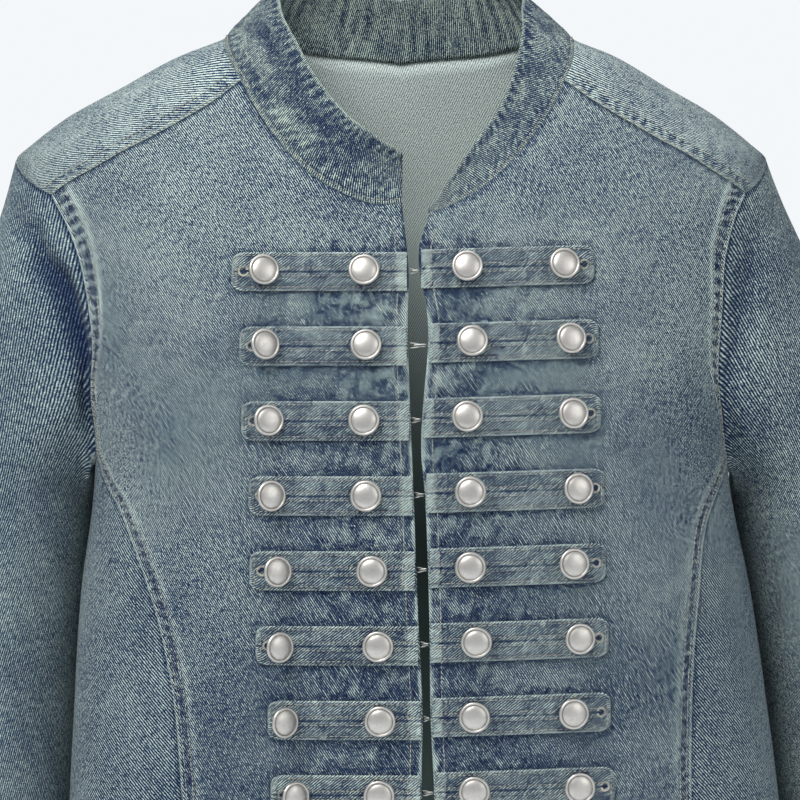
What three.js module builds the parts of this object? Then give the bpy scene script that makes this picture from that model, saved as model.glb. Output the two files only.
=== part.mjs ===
import * as THREE from 'three';

// A hollow, upright denim band jacket with a stand collar, open front edges and eight rows of
// buttoned tabs. Sizes are in millimetres. +X is the wearer's left, -Y is the front and +Z is up.
// The origin is the middle of the neck, level with the side neck points.

// Cloth and seams
const CLOTH = 1.4;
const COLLAR_THICKNESS = 2.4;
const SEAM_GAP = 0.3;
const COLLAR_BULGE = 1.6;

// Lengths
const HEM_HEIGHT = -480;
const CUFF_HEIGHT = -640;
const UNDERARM_HEIGHT = -239;
const ARMHOLE_TOP_HEIGHT = -67;

// Tabs
const TAB_ROWS = 8;
const TAB_PITCH = 40;
const TAB_HEIGHT = 21;
const TAB_THICKNESS = 2;
const TAB_CLEARANCE = 0.4;
const TAB_EDGE_INSET = 1;
const TAB_CORNER = 7;
const TAB_END_SHARE = 0.55;
const TAB_SLOPE_CENTRE = 60;

// Tack buttons
const BUTTON_RADIUS = 8.4;
const BUTTON_RIM = 1.2;
const BUTTON_RIM_HEIGHT = 1.8;
const BUTTON_EDGE_INSET = 0.5;
const BUTTON_CAP = 2.6;
const SHANK_RADIUS = 3.4;
const SHANK_HEIGHT = 2.6;
const BUTTON_SIDES = 10;
const BUTTON_CLEARANCE = 0.3;
const TIP_CLEARANCE = 0.6;
// Where the shank bends: a share of its height, with that share of the tip.
const SHANK_BEND = { height: 0.75, bend: 0.7 };

// Cell counts
const BODY_ROWS = 12;
const FRONT_ARMHOLE_ROWS = 9;
const EDGE_ROWS = 14;
const NECK_ROWS = 7;
const SIDE_COLUMNS = 3;
const BACK_ARMHOLE_ROWS = 7;
const WING_ROWS = 5;
const PANEL_COLUMNS = 6;
const BACK_NECK_COLUMNS = 8;
const COLLAR_ROWS = 5;

// Horizontal sections of the body: half width, middle, and depth before and behind the ridge line.
const SECTIONS = [
  { height: -530, halfWidth: 203, middle: 17, front: 96, back: 88 },
  { height: -424, halfWidth: 197.5, middle: 13.5, front: 101, back: 86 },
  { height: -313, halfWidth: 187, middle: 9, front: 108, back: 94 },
  { height: -232, halfWidth: 176, middle: 6, front: 108, back: 100 },
  { height: -180, halfWidth: 187, middle: 2, front: 103, back: 99 },
  { height: -130, halfWidth: 203, middle: -2, front: 94, back: 95 },
  { height: -90, halfWidth: 211, middle: -4, front: 84, back: 88 },
  { height: -67, halfWidth: 209, middle: -5, front: 75, back: 82 },
  { height: -60, halfWidth: 202, middle: -5, front: 72, back: 80 },
  { height: -43, halfWidth: 180, middle: -4, front: 66, back: 75 },
  { height: -27, halfWidth: 152, middle: -3, front: 60, back: 70 },
  { height: -11, halfWidth: 124, middle: -2, front: 54, back: 65 },
  { height: 0, halfWidth: 97, middle: -1, front: 50, back: 62 },
  { height: 20, halfWidth: 60, middle: 0, front: 44, back: 56 },
  { height: 34, halfWidth: 5, middle: 0, front: 40, back: 50 },
];
const WIDTH_POWER = 3;
const DEPTH_POWER = 2.3;
// Above this height the body is charted by rays from the ridge plane instead of by level sections.
const SHOULDER_HEIGHT = -90;
const SHOULDER_RADIUS = 75;
// Halving a ray this often finds where it leaves the body's form.
const HALVINGS = 40;

// Seams as seen from the front, from the bottom up. "right" and "left" are the wearer's.
const SEAMS = {
  right: {
    edge: [
      { x: 13, z: -480 }, { x: 11.8, z: -401 }, { x: 12.2, z: -370 }, { x: 9.6, z: -311 },
      { x: 7.5, z: -254 }, { x: 4.3, z: -164 }, { x: 4.7, z: -131 }, { x: 1.1, z: -94.2 },
    ],
    neck: [
      { x: 1.1, z: -94.2 }, { x: -10.2, z: -95.3 }, { x: -22.9, z: -92.6 }, { x: -48.8, z: -78.1 },
      { x: -71.9, z: -52.2 }, { x: -86.8, z: -26.3 },
    ],
    shoulder: [
      { x: -86.8, z: -26.3 }, { x: -106.8, z: -41.3 }, { x: -162.3, z: -71.9 }, { x: -190.4, z: -88.8 },
    ],
    princess: [
      { x: -115.5, z: -480 }, { x: -117.4, z: -416 }, { x: -124.8, z: -346 }, { x: -137.2, z: -299 },
      { x: -152.9, z: -260 }, { x: -160.8, z: -247 }, { x: -167.2, z: -230.2 },
    ],
    armhole: [
      { x: -167.2, z: -230.2 }, { x: -168.8, z: -205 }, { x: -167.4, z: -177.6 }, { x: -168.4, z: -156.9 },
      { x: -173.1, z: -129.2 }, { x: -180.4, z: -108.3 }, { x: -190.4, z: -88.8 },
    ],
  },
  left: {
    edge: [
      { x: 19, z: -480 }, { x: 18.2, z: -414 }, { x: 16.2, z: -370 }, { x: 15.5, z: -317 },
      { x: 12.8, z: -254 }, { x: 15.5, z: -169 }, { x: 14.3, z: -153.5 }, { x: 9.8, z: -122 },
      { x: 15.9, z: -99.7 },
    ],
    neck: [
      { x: 15.9, z: -99.7 }, { x: 30.2, z: -94.2 }, { x: 53, z: -78.8 }, { x: 76.1, z: -52.1 },
      { x: 89.9, z: -26.1 },
    ],
    shoulder: [{ x: 89.9, z: -26.1 }, { x: 111.3, z: -41.1 }, { x: 167, z: -73.3 }, { x: 189.2, z: -87.5 }],
    princess: [
      { x: 158.5, z: -480 }, { x: 157.3, z: -400 }, { x: 158.4, z: -349 }, { x: 161.5, z: -309 },
      { x: 166.5, z: -268 }, { x: 176, z: -246 }, { x: 180.8, z: -235 },
    ],
    armhole: [
      { x: 180.8, z: -235 }, { x: 176.6, z: -209.8 }, { x: 173.7, z: -190 }, { x: 175.2, z: -156.8 },
      { x: 176.7, z: -127 }, { x: 183.2, z: -100.9 }, { x: 189.2, z: -87.5 },
    ],
  },
};

// The back of each armhole from the underarm to the ridge: how far out, and the height.
const BACK_ARMHOLE = [
  { out: 176, z: -224 },
  { out: 172, z: -195 },
  { out: 176, z: -162 },
  { out: 184, z: -130 },
  { out: 196, z: -100 },
];
// The neck seam over the shoulder and behind the neck: distance out, depth and rough height.
const SIDE_NECK = [{ out: 96, y: -28, z: -4 }, { out: 97, y: 0, z: 0 }, { out: 88, y: 30, z: 1 }];
const BACK_NECK = [{ out: 55, y: 58, z: -3 }, { out: 0, y: 64, z: -9 }];

// How the collar band leans, by the turn round the neck from the front: the way from its seam to its
// top edge, across (+X), back (+Y) and up.
const COLLAR_LEAN = [
  { turn: -180, across: 0, back: -9, rise: 37 },
  { turn: -130, across: 14, back: -8, rise: 34 },
  { turn: -100, across: 25, back: -3, rise: 28 },
  { turn: -81, across: 29.5, back: 3, rise: 24 },
  { turn: -67, across: 30, back: 6, rise: 22.5 },
  { turn: -51, across: 27, back: 7, rise: 26 },
  { turn: -35, across: 21, back: 6, rise: 31 },
  { turn: -17, across: 10, back: 12, rise: 34.5 },
  { turn: 0.8, across: 0.6, back: 27, rise: 27 },
  { turn: 11.7, across: -0.6, back: 37.5, rise: 4 },
  { turn: 22, across: -4, back: 35.5, rise: 12 },
  { turn: 37.5, across: -14, back: 31.5, rise: 15.5 },
  { turn: 53, across: -20, back: 29, rise: 14 },
  { turn: 66, across: -26, back: 24, rise: 14 },
  { turn: 75.5, across: -28, back: 19, rise: 17 },
  { turn: 92, across: -28, back: 8, rise: 24 },
  { turn: 112, across: -23, back: -1, rise: 30 },
  { turn: 140, across: -11, back: -7, rise: 35 },
  { turn: 180, across: 0, back: -9, rise: 37 },
];
// Turns are taken round a point this far in front of the origin, and change sign at the nape.
const TURN_CENTRE = 10;
const NAPE_TURN = 170;
// The long dent in the wearer's right half of the band, a third of the way down from its top edge.
const COLLAR_DENT = { share: 0.62, depth: 1.6, reach: 0.16, from: -85, to: -12, fade: 15 };

// Level rings of each sleeve, from under the armhole to the cuff.
const SLEEVE_RINGS = {
  right: [
    { z: -262, x: -220.2, y: 32, halfWidth: 49, halfDepth: 55 },
    { z: -320, x: -225.2, y: 34, halfWidth: 47.5, halfDepth: 54 },
    { z: -390, x: -227, y: 36, halfWidth: 46, halfDepth: 52 },
    { z: -470, x: -227.2, y: 38, halfWidth: 44, halfDepth: 49 },
    { z: -555, x: -229, y: 30, halfWidth: 42, halfDepth: 46 },
    { z: CUFF_HEIGHT, x: -232, y: 18, halfWidth: 40, halfDepth: 43 },
  ],
  left: [
    { z: -262, x: 235, y: 32, halfWidth: 49, halfDepth: 55 },
    { z: -320, x: 244, y: 34, halfWidth: 47.5, halfDepth: 54 },
    { z: -390, x: 251.5, y: 36, halfWidth: 46, halfDepth: 52 },
    { z: -470, x: 257, y: 38, halfWidth: 44, halfDepth: 49 },
    { z: -555, x: 260, y: 30, halfWidth: 42, halfDepth: 46 },
    { z: CUFF_HEIGHT, x: 263, y: 18, halfWidth: 40, halfDepth: 43 },
  ],
};
// How the sleeve leaves its armhole: straight on at the top, and outward and down near the underarm.
const CAP_START = { topDepth: 110, underarmDepth: 185, across: 0.35, drop: 0.6, share: 0.15, fall: 0.25 };
const CAP_STEPS = [0, 0.045, 0.09, 0.14, 0.2, 0.28, 0.42, 0.66];
const CAP_MIDDLE_HEIGHT = -153;
const CAP_HALF_HEIGHT = 86;
const CAP_HALF_DEPTH = 62;
// The fold beside the front of each armhole, by height: its distance from the seam and its depth.
const SLEEVE_FOLDS = {
  right: [
    { z: -240, reach: 4, depth: 0 },
    { z: -200, reach: 6, depth: 5 },
    { z: -157, reach: 15, depth: 10 },
    { z: -124, reach: 21, depth: 11 },
    { z: -105, reach: 27, depth: 8 },
    { z: -70, reach: 22, depth: 0 },
  ],
  left: [
    { z: -240, reach: 8, depth: 0 },
    { z: -190, reach: 12, depth: 3 },
    { z: -140, reach: 18, depth: 4 },
    { z: -70, reach: 20, depth: 0 },
  ],
};
const FOLD_WIDTH = 9;
// The fold fades out between these depths in front of the ridge line.
const FOLD_FADE = { from: 5, to: 40 };

// Tab rows from the top: the outer end and the two buttons, by X, and how far the outer button tips.
const TABS = {
  right: {
    first: -132.3,
    slope: 0,
    rows: [
      { end: -90.4, outer: -72.6, inner: -19.3, tip: 20 },
      { end: -85.9, outer: -71.3, inner: -18.2, tip: 34 },
      { end: -84.7, outer: -69.1, inner: -19.2, tip: 28 },
      { end: -80.8, outer: -67.4, inner: -18.2, tip: 36 },
      { end: -80.3, outer: -64.2, inner: -15, tip: 38 },
      { end: -77.1, outer: -63.1, inner: -11.8, tip: 40 },
      { end: -70.7, outer: -60.5, inner: -10.7, tip: 42 },
      { end: -69.2, outer: -55.2, inner: -11.2, tip: 38 },
    ],
  },
  left: {
    first: -129.5,
    slope: 0.03,
    rows: [
      { end: 104.5, outer: 87.7, inner: 36, tip: 6 },
      { end: 106.4, outer: 90.7, inner: 38.6, tip: 6 },
      { end: 107.3, outer: 91.6, inner: 35.8, tip: 6 },
      { end: 109.4, outer: 94.2, inner: 37.4, tip: 6 },
      { end: 109.9, outer: 92, inner: 37.4, tip: 6 },
      { end: 111.5, outer: 95.3, inner: 40.6, tip: 6 },
      { end: 112.7, outer: 92.1, inner: 39.6, tip: 8 },
      { end: 114.9, outer: 95.5, inner: 39.6, tip: 6 },
    ],
  },
};
const TAB_STEPS = [0, 0.06, 0.16, 0.4, 0.6, 0.8, 1];
const TAB_ACROSS = [-1, -0.5, 0.5, 1];

const denim = { color: 0x6f8492, roughness: 0.92, metalness: 0 };
const darkDenim = { color: 0x5d7384, roughness: 0.93, metalness: 0 };
const silver = { color: 0xb9b4ae, roughness: 0.36, metalness: 0.9 };

/** Reads a column of a table at a key, with a smooth cubic between the rows. */
function readTable(rows, key, column, at) {
  const first = rows[0][key];
  const last = rows[rows.length - 1][key];
  const place = THREE.MathUtils.clamp(at, Math.min(first, last), Math.max(first, last));
  let index = 0;
  while (index < rows.length - 2 && (rows[index + 1][key] - place) * (last - first) < 0) {
    index += 1;
  }
  const slopeAt = (row) => {
    const before = rows[Math.max(row - 1, 0)];
    const after = rows[Math.min(row + 1, rows.length - 1)];
    return (after[column] - before[column]) / (after[key] - before[key]);
  };
  const low = rows[index];
  const high = rows[index + 1];
  const span = high[key] - low[key];
  const t = (place - low[key]) / span;
  const value = low[column] * (1 + 2 * t) * (1 - t) ** 2 + high[column] * t * t * (3 - 2 * t);
  return value + span * (slopeAt(index) * t * (1 - t) ** 2 + slopeAt(index + 1) * t * t * (t - 1));
}

/** Gives the body's level section at a height. */
function sectionAt(z) {
  return {
    halfWidth: readTable(SECTIONS, 'height', 'halfWidth', z),
    middle: readTable(SECTIONS, 'height', 'middle', z),
    front: readTable(SECTIONS, 'height', 'front', z),
    back: readTable(SECTIONS, 'height', 'back', z),
  };
}

/** Is below zero inside the body's form, zero on it and above zero outside. */
function bodyField(x, y, z) {
  const section = sectionAt(z);
  const depth = y < 0 ? section.front : section.back;
  const wide = Math.abs(x - section.middle) / section.halfWidth;
  return wide ** WIDTH_POWER + (Math.abs(y) / depth) ** DEPTH_POWER - 1;
}

/** Gives the body form's outward normal at a point. */
function bodyNormal(point) {
  const step = 0.5;
  const { x, y, z } = point;
  return new THREE.Vector3(
    bodyField(x + step, y, z) - bodyField(x - step, y, z),
    bodyField(x, y + step, z) - bodyField(x, y - step, z),
    bodyField(x, y, z + step) - bodyField(x, y, z - step),
  ).normalize();
}

/** Gives the point of the front or back face (side -1 or 1) at an X and a Z. */
function onFace(x, z, side) {
  const section = sectionAt(z);
  const wide = Math.min(Math.abs(x - section.middle) / section.halfWidth, 1);
  const depth = side < 0 ? section.front : section.back;
  return new THREE.Vector3(x, side * depth * (1 - wide ** WIDTH_POWER) ** (1 / DEPTH_POWER), z);
}

/** Moves a point on to the body's form along the ray from the body's middle. */
function ontoBody(point) {
  const height = Math.min(point.z, SHOULDER_HEIGHT);
  const middle = new THREE.Vector3(sectionAt(height).middle, 0, height);
  const ray = point.clone().sub(middle);
  let near = 0.3;
  let far = 2;
  for (let pass = 0; pass < HALVINGS; pass += 1) {
    const half = (near + far) / 2;
    const trial = ray.clone().multiplyScalar(half).add(middle);
    if (bodyField(trial.x, trial.y, trial.z) < 0) {
      near = half;
    } else {
      far = half;
    }
  }
  return ray.multiplyScalar(near).add(middle);
}

/** Turns a chart place (turn across, way up) into a point of the front or back face. */
function fromChart(place, side) {
  const wide = Math.sin(place.across);
  if (place.up <= SHOULDER_HEIGHT) {
    const section = sectionAt(place.up);
    return onFace(section.middle + section.halfWidth * wide, place.up, side);
  }
  const section = sectionAt(SHOULDER_HEIGHT);
  const x = section.middle + section.halfWidth * wide;
  const angle = (place.up - SHOULDER_HEIGHT) / SHOULDER_RADIUS;
  let near = 0;
  let far = 2 * SHOULDER_RADIUS;
  for (let pass = 0; pass < HALVINGS; pass += 1) {
    const half = (near + far) / 2;
    const y = side * half * Math.cos(angle);
    if (bodyField(x, y, SHOULDER_HEIGHT + half * Math.sin(angle)) < 0) {
      near = half;
    } else {
      far = half;
    }
  }
  return new THREE.Vector3(x, side * near * Math.cos(angle), SHOULDER_HEIGHT + near * Math.sin(angle));
}

/** Turns a point of the body's form into its chart place on the front or back chart. */
function toChart(point, side) {
  const section = sectionAt(Math.min(point.z, SHOULDER_HEIGHT));
  const wide = THREE.MathUtils.clamp((point.x - section.middle) / section.halfWidth, -1, 1);
  const across = Math.asin(wide);
  if (point.z <= SHOULDER_HEIGHT && point.y * side >= 0) {
    return { across, up: point.z };
  }
  const angle = Math.atan2(point.z - SHOULDER_HEIGHT, point.y * side);
  return { across, up: SHOULDER_HEIGHT + angle * SHOULDER_RADIUS };
}

/** Gives evenly spaced points of the body's form along a smooth curve through some points. */
function seamStations(points, cells) {
  const curve = new THREE.CatmullRomCurve3(points, false, 'centripetal');
  return curve.getSpacedPoints(cells).map(ontoBody);
}

/** Gives the points of the front face for a seam's rows. */
function frontPoints(rows) {
  return rows.map((row) => onFace(row.x, row.z, -1));
}

/** Works out every seam's stations for one half of the jacket. */
function halfSeams(name) {
  const seams = SEAMS[name];
  const sign = name === 'left' ? 1 : -1;
  const underarmSection = sectionAt(UNDERARM_HEIGHT);
  const topSection = sectionAt(ARMHOLE_TOP_HEIGHT);
  const underarm = new THREE.Vector3(
    underarmSection.middle + sign * underarmSection.halfWidth, 0, UNDERARM_HEIGHT,
  );
  const top = new THREE.Vector3(topSection.middle + sign * topSection.halfWidth, 0, ARMHOLE_TOP_HEIGHT);
  const armhole = frontPoints(seams.armhole);
  const tip = armhole[armhole.length - 1];
  const junction = armhole[0];
  const behind = BACK_ARMHOLE.map((row) => onFace(sign * row.out + underarmSection.middle, row.z, 1));
  const shoulder = frontPoints(seams.shoulder);
  const neckPoint = shoulder[0];
  const sideNeck = SIDE_NECK.map((row) => ontoBody(new THREE.Vector3(sign * row.out, row.y, row.z)));
  const notch = sideNeck[sideNeck.length - 1];
  const backNeck = BACK_NECK.map((row) => ontoBody(new THREE.Vector3(sign * row.out, row.y, row.z)));
  const sideSeam = [];
  for (let row = 0; row <= BODY_ROWS; row += 1) {
    const z = THREE.MathUtils.lerp(HEM_HEIGHT, UNDERARM_HEIGHT, row / BODY_ROWS);
    const section = sectionAt(z);
    sideSeam.push(new THREE.Vector3(section.middle + sign * section.halfWidth, 0, z));
  }
  const backLoop = seamStations([underarm, ...behind, top, tip], BACK_ARMHOLE_ROWS + WING_ROWS);
  return {
    sign,
    edge: seamStations(frontPoints(seams.edge), EDGE_ROWS),
    neck: seamStations(frontPoints(seams.neck), NECK_ROWS),
    shoulder: seamStations(shoulder, PANEL_COLUMNS),
    princess: seamStations(frontPoints(seams.princess), BODY_ROWS),
    armhole: seamStations(armhole, FRONT_ARMHOLE_ROWS),
    underarm: seamStations([junction, underarm], SIDE_COLUMNS),
    sideSeam,
    backLoop,
    sideNeck: seamStations([neckPoint, ...sideNeck], WING_ROWS).reverse(),
    backNeck: seamStations([notch, ...backNeck], BACK_NECK_COLUMNS / 2),
  };
}

/** Fills a patch between four rows of chart places, as rows of places from the bottom up. */
function fillPatch(bottom, top, start, end) {
  const rows = [];
  for (let row = 0; row < start.length; row += 1) {
    const v = row / (start.length - 1);
    const line = [];
    for (let column = 0; column < bottom.length; column += 1) {
      const u = column / (bottom.length - 1);
      const mix = (key) => {
        const level = (1 - v) * bottom[column][key] + v * top[column][key];
        const cross = (1 - u) * start[row][key] + u * end[row][key];
        const low = (1 - u) * bottom[0][key] + u * bottom[bottom.length - 1][key];
        const high = (1 - u) * top[0][key] + u * top[top.length - 1][key];
        return level + cross - (1 - v) * low - v * high;
      };
      line.push({ across: mix('across'), up: mix('up') });
    }
    rows.push(line);
  }
  return rows;
}

/** Gives evenly spaced chart places between two places. */
function chartLine(from, to, cells) {
  const line = [];
  for (let step = 0; step <= cells; step += 1) {
    const share = step / cells;
    line.push({
      across: THREE.MathUtils.lerp(from.across, to.across, share),
      up: THREE.MathUtils.lerp(from.up, to.up, share),
    });
  }
  return line;
}

/** Turns a seam's stations into chart places. */
function chartStations(points, side) {
  return points.map((point) => toChart(point, side));
}

/**
 * Builds a closed wall between two grids of points, with rims along every free edge. Cells for which
 * holds() is false are left out, and a ring grid closes on itself across the columns.
 */
function wallGeometry(outer, inner, ring = false, holds = () => true) {
  const columns = outer[0].length;
  const positions = [];
  const indices = [];
  const layer = outer.length * columns;
  for (const grid of [outer, inner]) {
    for (const line of grid) {
      for (const point of line) {
        positions.push(point.x, point.y, point.z);
      }
    }
  }
  const rowCells = outer.length - 1;
  const columnCells = ring ? columns : columns - 1;
  const present = (row, column) => {
    const wrapped = ring ? (column + columns) % columns : column;
    const inside = row >= 0 && row < rowCells && wrapped >= 0 && wrapped < columnCells;
    return inside && holds(row, wrapped);
  };
  const index = (row, column) => row * columns + (column % columns);
  const rim = (from, to) => {
    indices.push(from, from + layer, to + layer, from, to + layer, to);
  };
  for (let row = 0; row < rowCells; row += 1) {
    for (let column = 0; column < columnCells; column += 1) {
      if (!present(row, column)) {
        continue;
      }
      const a = index(row, column);
      const b = index(row, column + 1);
      const c = index(row + 1, column + 1);
      const d = index(row + 1, column);
      indices.push(a, b, c, a, c, d);
      indices.push(a + layer, c + layer, b + layer, a + layer, d + layer, c + layer);
      if (!present(row - 1, column)) {
        rim(a, b);
      }
      if (!present(row + 1, column)) {
        rim(c, d);
      }
      if (!present(row, column - 1)) {
        rim(d, a);
      }
      if (!present(row, column + 1)) {
        rim(b, c);
      }
    }
  }
  return closedGeometry(positions, indices);
}

/** Makes a geometry of points and triangles whose faces point out. */
function closedGeometry(positions, indices) {
  let volume = 0;
  const corner = (place) => new THREE.Vector3().fromArray(positions, indices[place] * 3);
  for (let place = 0; place < indices.length; place += 3) {
    volume += corner(place).dot(corner(place + 1).cross(corner(place + 2)));
  }
  if (volume < 0) {
    indices.reverse();
  }
  const geometry = new THREE.BufferGeometry();
  geometry.setAttribute('position', new THREE.Float32BufferAttribute(positions, 3));
  geometry.setIndex(indices);
  geometry.computeVertexNormals();
  return geometry;
}

/** Makes a named mesh with its own material. */
function namedMesh(name, geometry, finish) {
  const mesh = new THREE.Mesh(geometry, new THREE.MeshStandardMaterial(finish));
  mesh.name = name;
  return mesh;
}

/** Gives the way into a panel, square to its edge, at an edge point. */
function wayIn(point, inner, before, after) {
  const along = after.clone().sub(before).normalize();
  const way = inner.clone().sub(point);
  return way.addScaledVector(along, -way.dot(along)).normalize();
}

/** Draws a panel's edge points in by half a seam gap. */
function insetEdges(grid, holds) {
  const rowCells = grid.length - 1;
  const columnCells = grid[0].length - 1;
  const present = (row, column) =>
    row >= 0 && row < rowCells && column >= 0 && column < columnCells && holds(row, column);
  const moved = grid.map((line) => line.map((point) => point.clone()));
  const shift = (row, column, rowIn, columnIn) => {
    const point = grid[row][column];
    const inner = grid[row + rowIn][column + columnIn];
    const before = grid[Math.max(row - Math.abs(columnIn), 0)][Math.max(column - Math.abs(rowIn), 0)];
    const after = grid[Math.min(row + Math.abs(columnIn), rowCells)][
      Math.min(column + Math.abs(rowIn), columnCells)
    ];
    moved[row][column].addScaledVector(wayIn(point, inner, before, after), SEAM_GAP / 2);
  };
  for (let row = 0; row <= rowCells; row += 1) {
    for (let column = 0; column <= columnCells; column += 1) {
      const below = present(row - 1, column - 1) || present(row - 1, column);
      const above = present(row, column - 1) || present(row, column);
      const before = present(row - 1, column - 1) || present(row, column - 1);
      const after = present(row - 1, column) || present(row, column);
      if (below !== above) {
        shift(row, column, below ? -1 : 1, 0);
      }
      if (before !== after) {
        shift(row, column, 0, before ? -1 : 1);
      }
    }
  }
  return moved;
}

/** Makes a body panel's wall from its grid of points on the body's form. */
function panelMesh(name, grid, holds = () => true) {
  const normals = grid.map((line) => line.map(bodyNormal));
  const outer = insetEdges(grid, holds);
  const inner = outer.map((line, row) =>
    line.map((point, column) => point.clone().addScaledVector(normals[row][column], -CLOTH)));
  return namedMesh(name, wallGeometry(outer, inner, false, holds), denim);
}

/** Turns rows of chart places into rows of points. */
function chartPoints(rows, side) {
  return rows.map((line) => line.map((place) => fromChart(place, side)));
}

/** Makes a centre front panel. */
function frontPanel(name, seams) {
  const inside = chartStations([...seams.edge, ...seams.neck.slice(1)], -1);
  const outside = chartStations([...seams.princess, ...seams.armhole.slice(1)], -1);
  const top = chartStations(seams.shoulder, -1);
  const bottom = chartLine(inside[0], outside[0], PANEL_COLUMNS);
  return panelMesh(name, chartPoints(fillPatch(bottom, top, inside, outside), -1));
}

/** Makes a side panel from the princess seam round to the side seam. */
function sidePanel(name, seams) {
  const start = chartStations(seams.princess, -1);
  const end = seams.sideSeam.map((point) => ({ across: (seams.sign * Math.PI) / 2, up: point.z }));
  const bottom = chartLine(start[0], end[0], SIDE_COLUMNS);
  const top = chartStations(seams.underarm, -1);
  top[top.length - 1] = end[end.length - 1];
  return panelMesh(name, chartPoints(fillPatch(bottom, top, start, end), -1));
}

/** Makes the back, with both shoulders over to the forward seams and a notch for the neck. */
function backPanel(right, left) {
  const halves = { right, left };
  const charted = {};
  for (const [name, seams] of Object.entries(halves)) {
    const sideTurn = (seams.sign * Math.PI) / 2;
    const lowSide = seams.sideSeam.map((point) => ({ across: sideTurn, up: point.z }));
    const loop = chartStations(seams.backLoop, 1);
    loop[0] = lowSide[lowSide.length - 1];
    charted[name] = {
      side: [...lowSide, ...loop.slice(1, BACK_ARMHOLE_ROWS + 1)],
      wingSide: loop.slice(BACK_ARMHOLE_ROWS),
      shoulder: chartStations(seams.shoulder, 1).reverse(),
      sideNeck: chartStations(seams.sideNeck, 1),
      backNeck: chartStations(seams.backNeck, 1),
    };
  }
  const columns = 2 * PANEL_COLUMNS + BACK_NECK_COLUMNS;
  const join = (name) => {
    const parts = charted[name];
    return chartLine(parts.side[parts.side.length - 1], parts.backNeck[0], PANEL_COLUMNS);
  };
  const rightJoin = join('right');
  const leftJoin = join('left');
  const notchLine = [
    ...charted.right.backNeck.slice(1),
    ...charted.left.backNeck.slice(0, -1).reverse(),
  ];
  const middleLine = [...rightJoin, ...notchLine, ...leftJoin.slice(0, -1).reverse()];
  const hem = chartLine(charted.right.side[0], charted.left.side[0], columns);
  const low = fillPatch(hem, middleLine, charted.right.side, charted.left.side);
  const wings = {};
  for (const [name, line] of [['right', rightJoin], ['left', leftJoin]]) {
    const parts = charted[name];
    wings[name] = fillPatch(line, parts.shoulder, parts.wingSide, parts.sideNeck);
  }
  // The notch's cells are left out, so the points there only keep the rows full.
  const gap = notchLine.slice(0, -1);
  const places = low.map((line) => line.slice());
  for (let row = 1; row <= WING_ROWS; row += 1) {
    places.push([...wings.right[row], ...gap, ...wings.left[row].slice().reverse()]);
  }
  const notchRow = low.length - 1;
  const holds = (row, column) =>
    row < notchRow || column < PANEL_COLUMNS || column >= PANEL_COLUMNS + BACK_NECK_COLUMNS;
  return panelMesh('back', chartPoints(places, 1), holds);
}

/** Gives a grid's normals, all on the side of one known outward way at its last row's first point. */
function gridNormals(grid, ring, outward) {
  const normals = grid.map((line, row) => line.map((point, column) => {
    const columns = line.length;
    const before = ring ? line[(column + columns - 1) % columns] : line[Math.max(column - 1, 0)];
    const after = ring ? line[(column + 1) % columns] : line[Math.min(column + 1, columns - 1)];
    const below = grid[Math.max(row - 1, 0)][column];
    const above = grid[Math.min(row + 1, grid.length - 1)][column];
    return after.clone().sub(before).cross(above.clone().sub(below)).normalize();
  }));
  const side = Math.sign(normals[grid.length - 1][0].dot(outward));
  return normals.map((line) => line.map((normal) => normal.multiplyScalar(side)));
}

/** Gives the point of a cubic between two ends with their tangents. */
function hermitePoint(from, fromWay, to, toWay, t) {
  return new THREE.Vector3()
    .addScaledVector(from, (1 + 2 * t) * (1 - t) ** 2)
    .addScaledVector(fromWay, t * (1 - t) ** 2)
    .addScaledVector(to, t * t * (3 - 2 * t))
    .addScaledVector(toWay, t * t * (t - 1));
}

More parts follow.
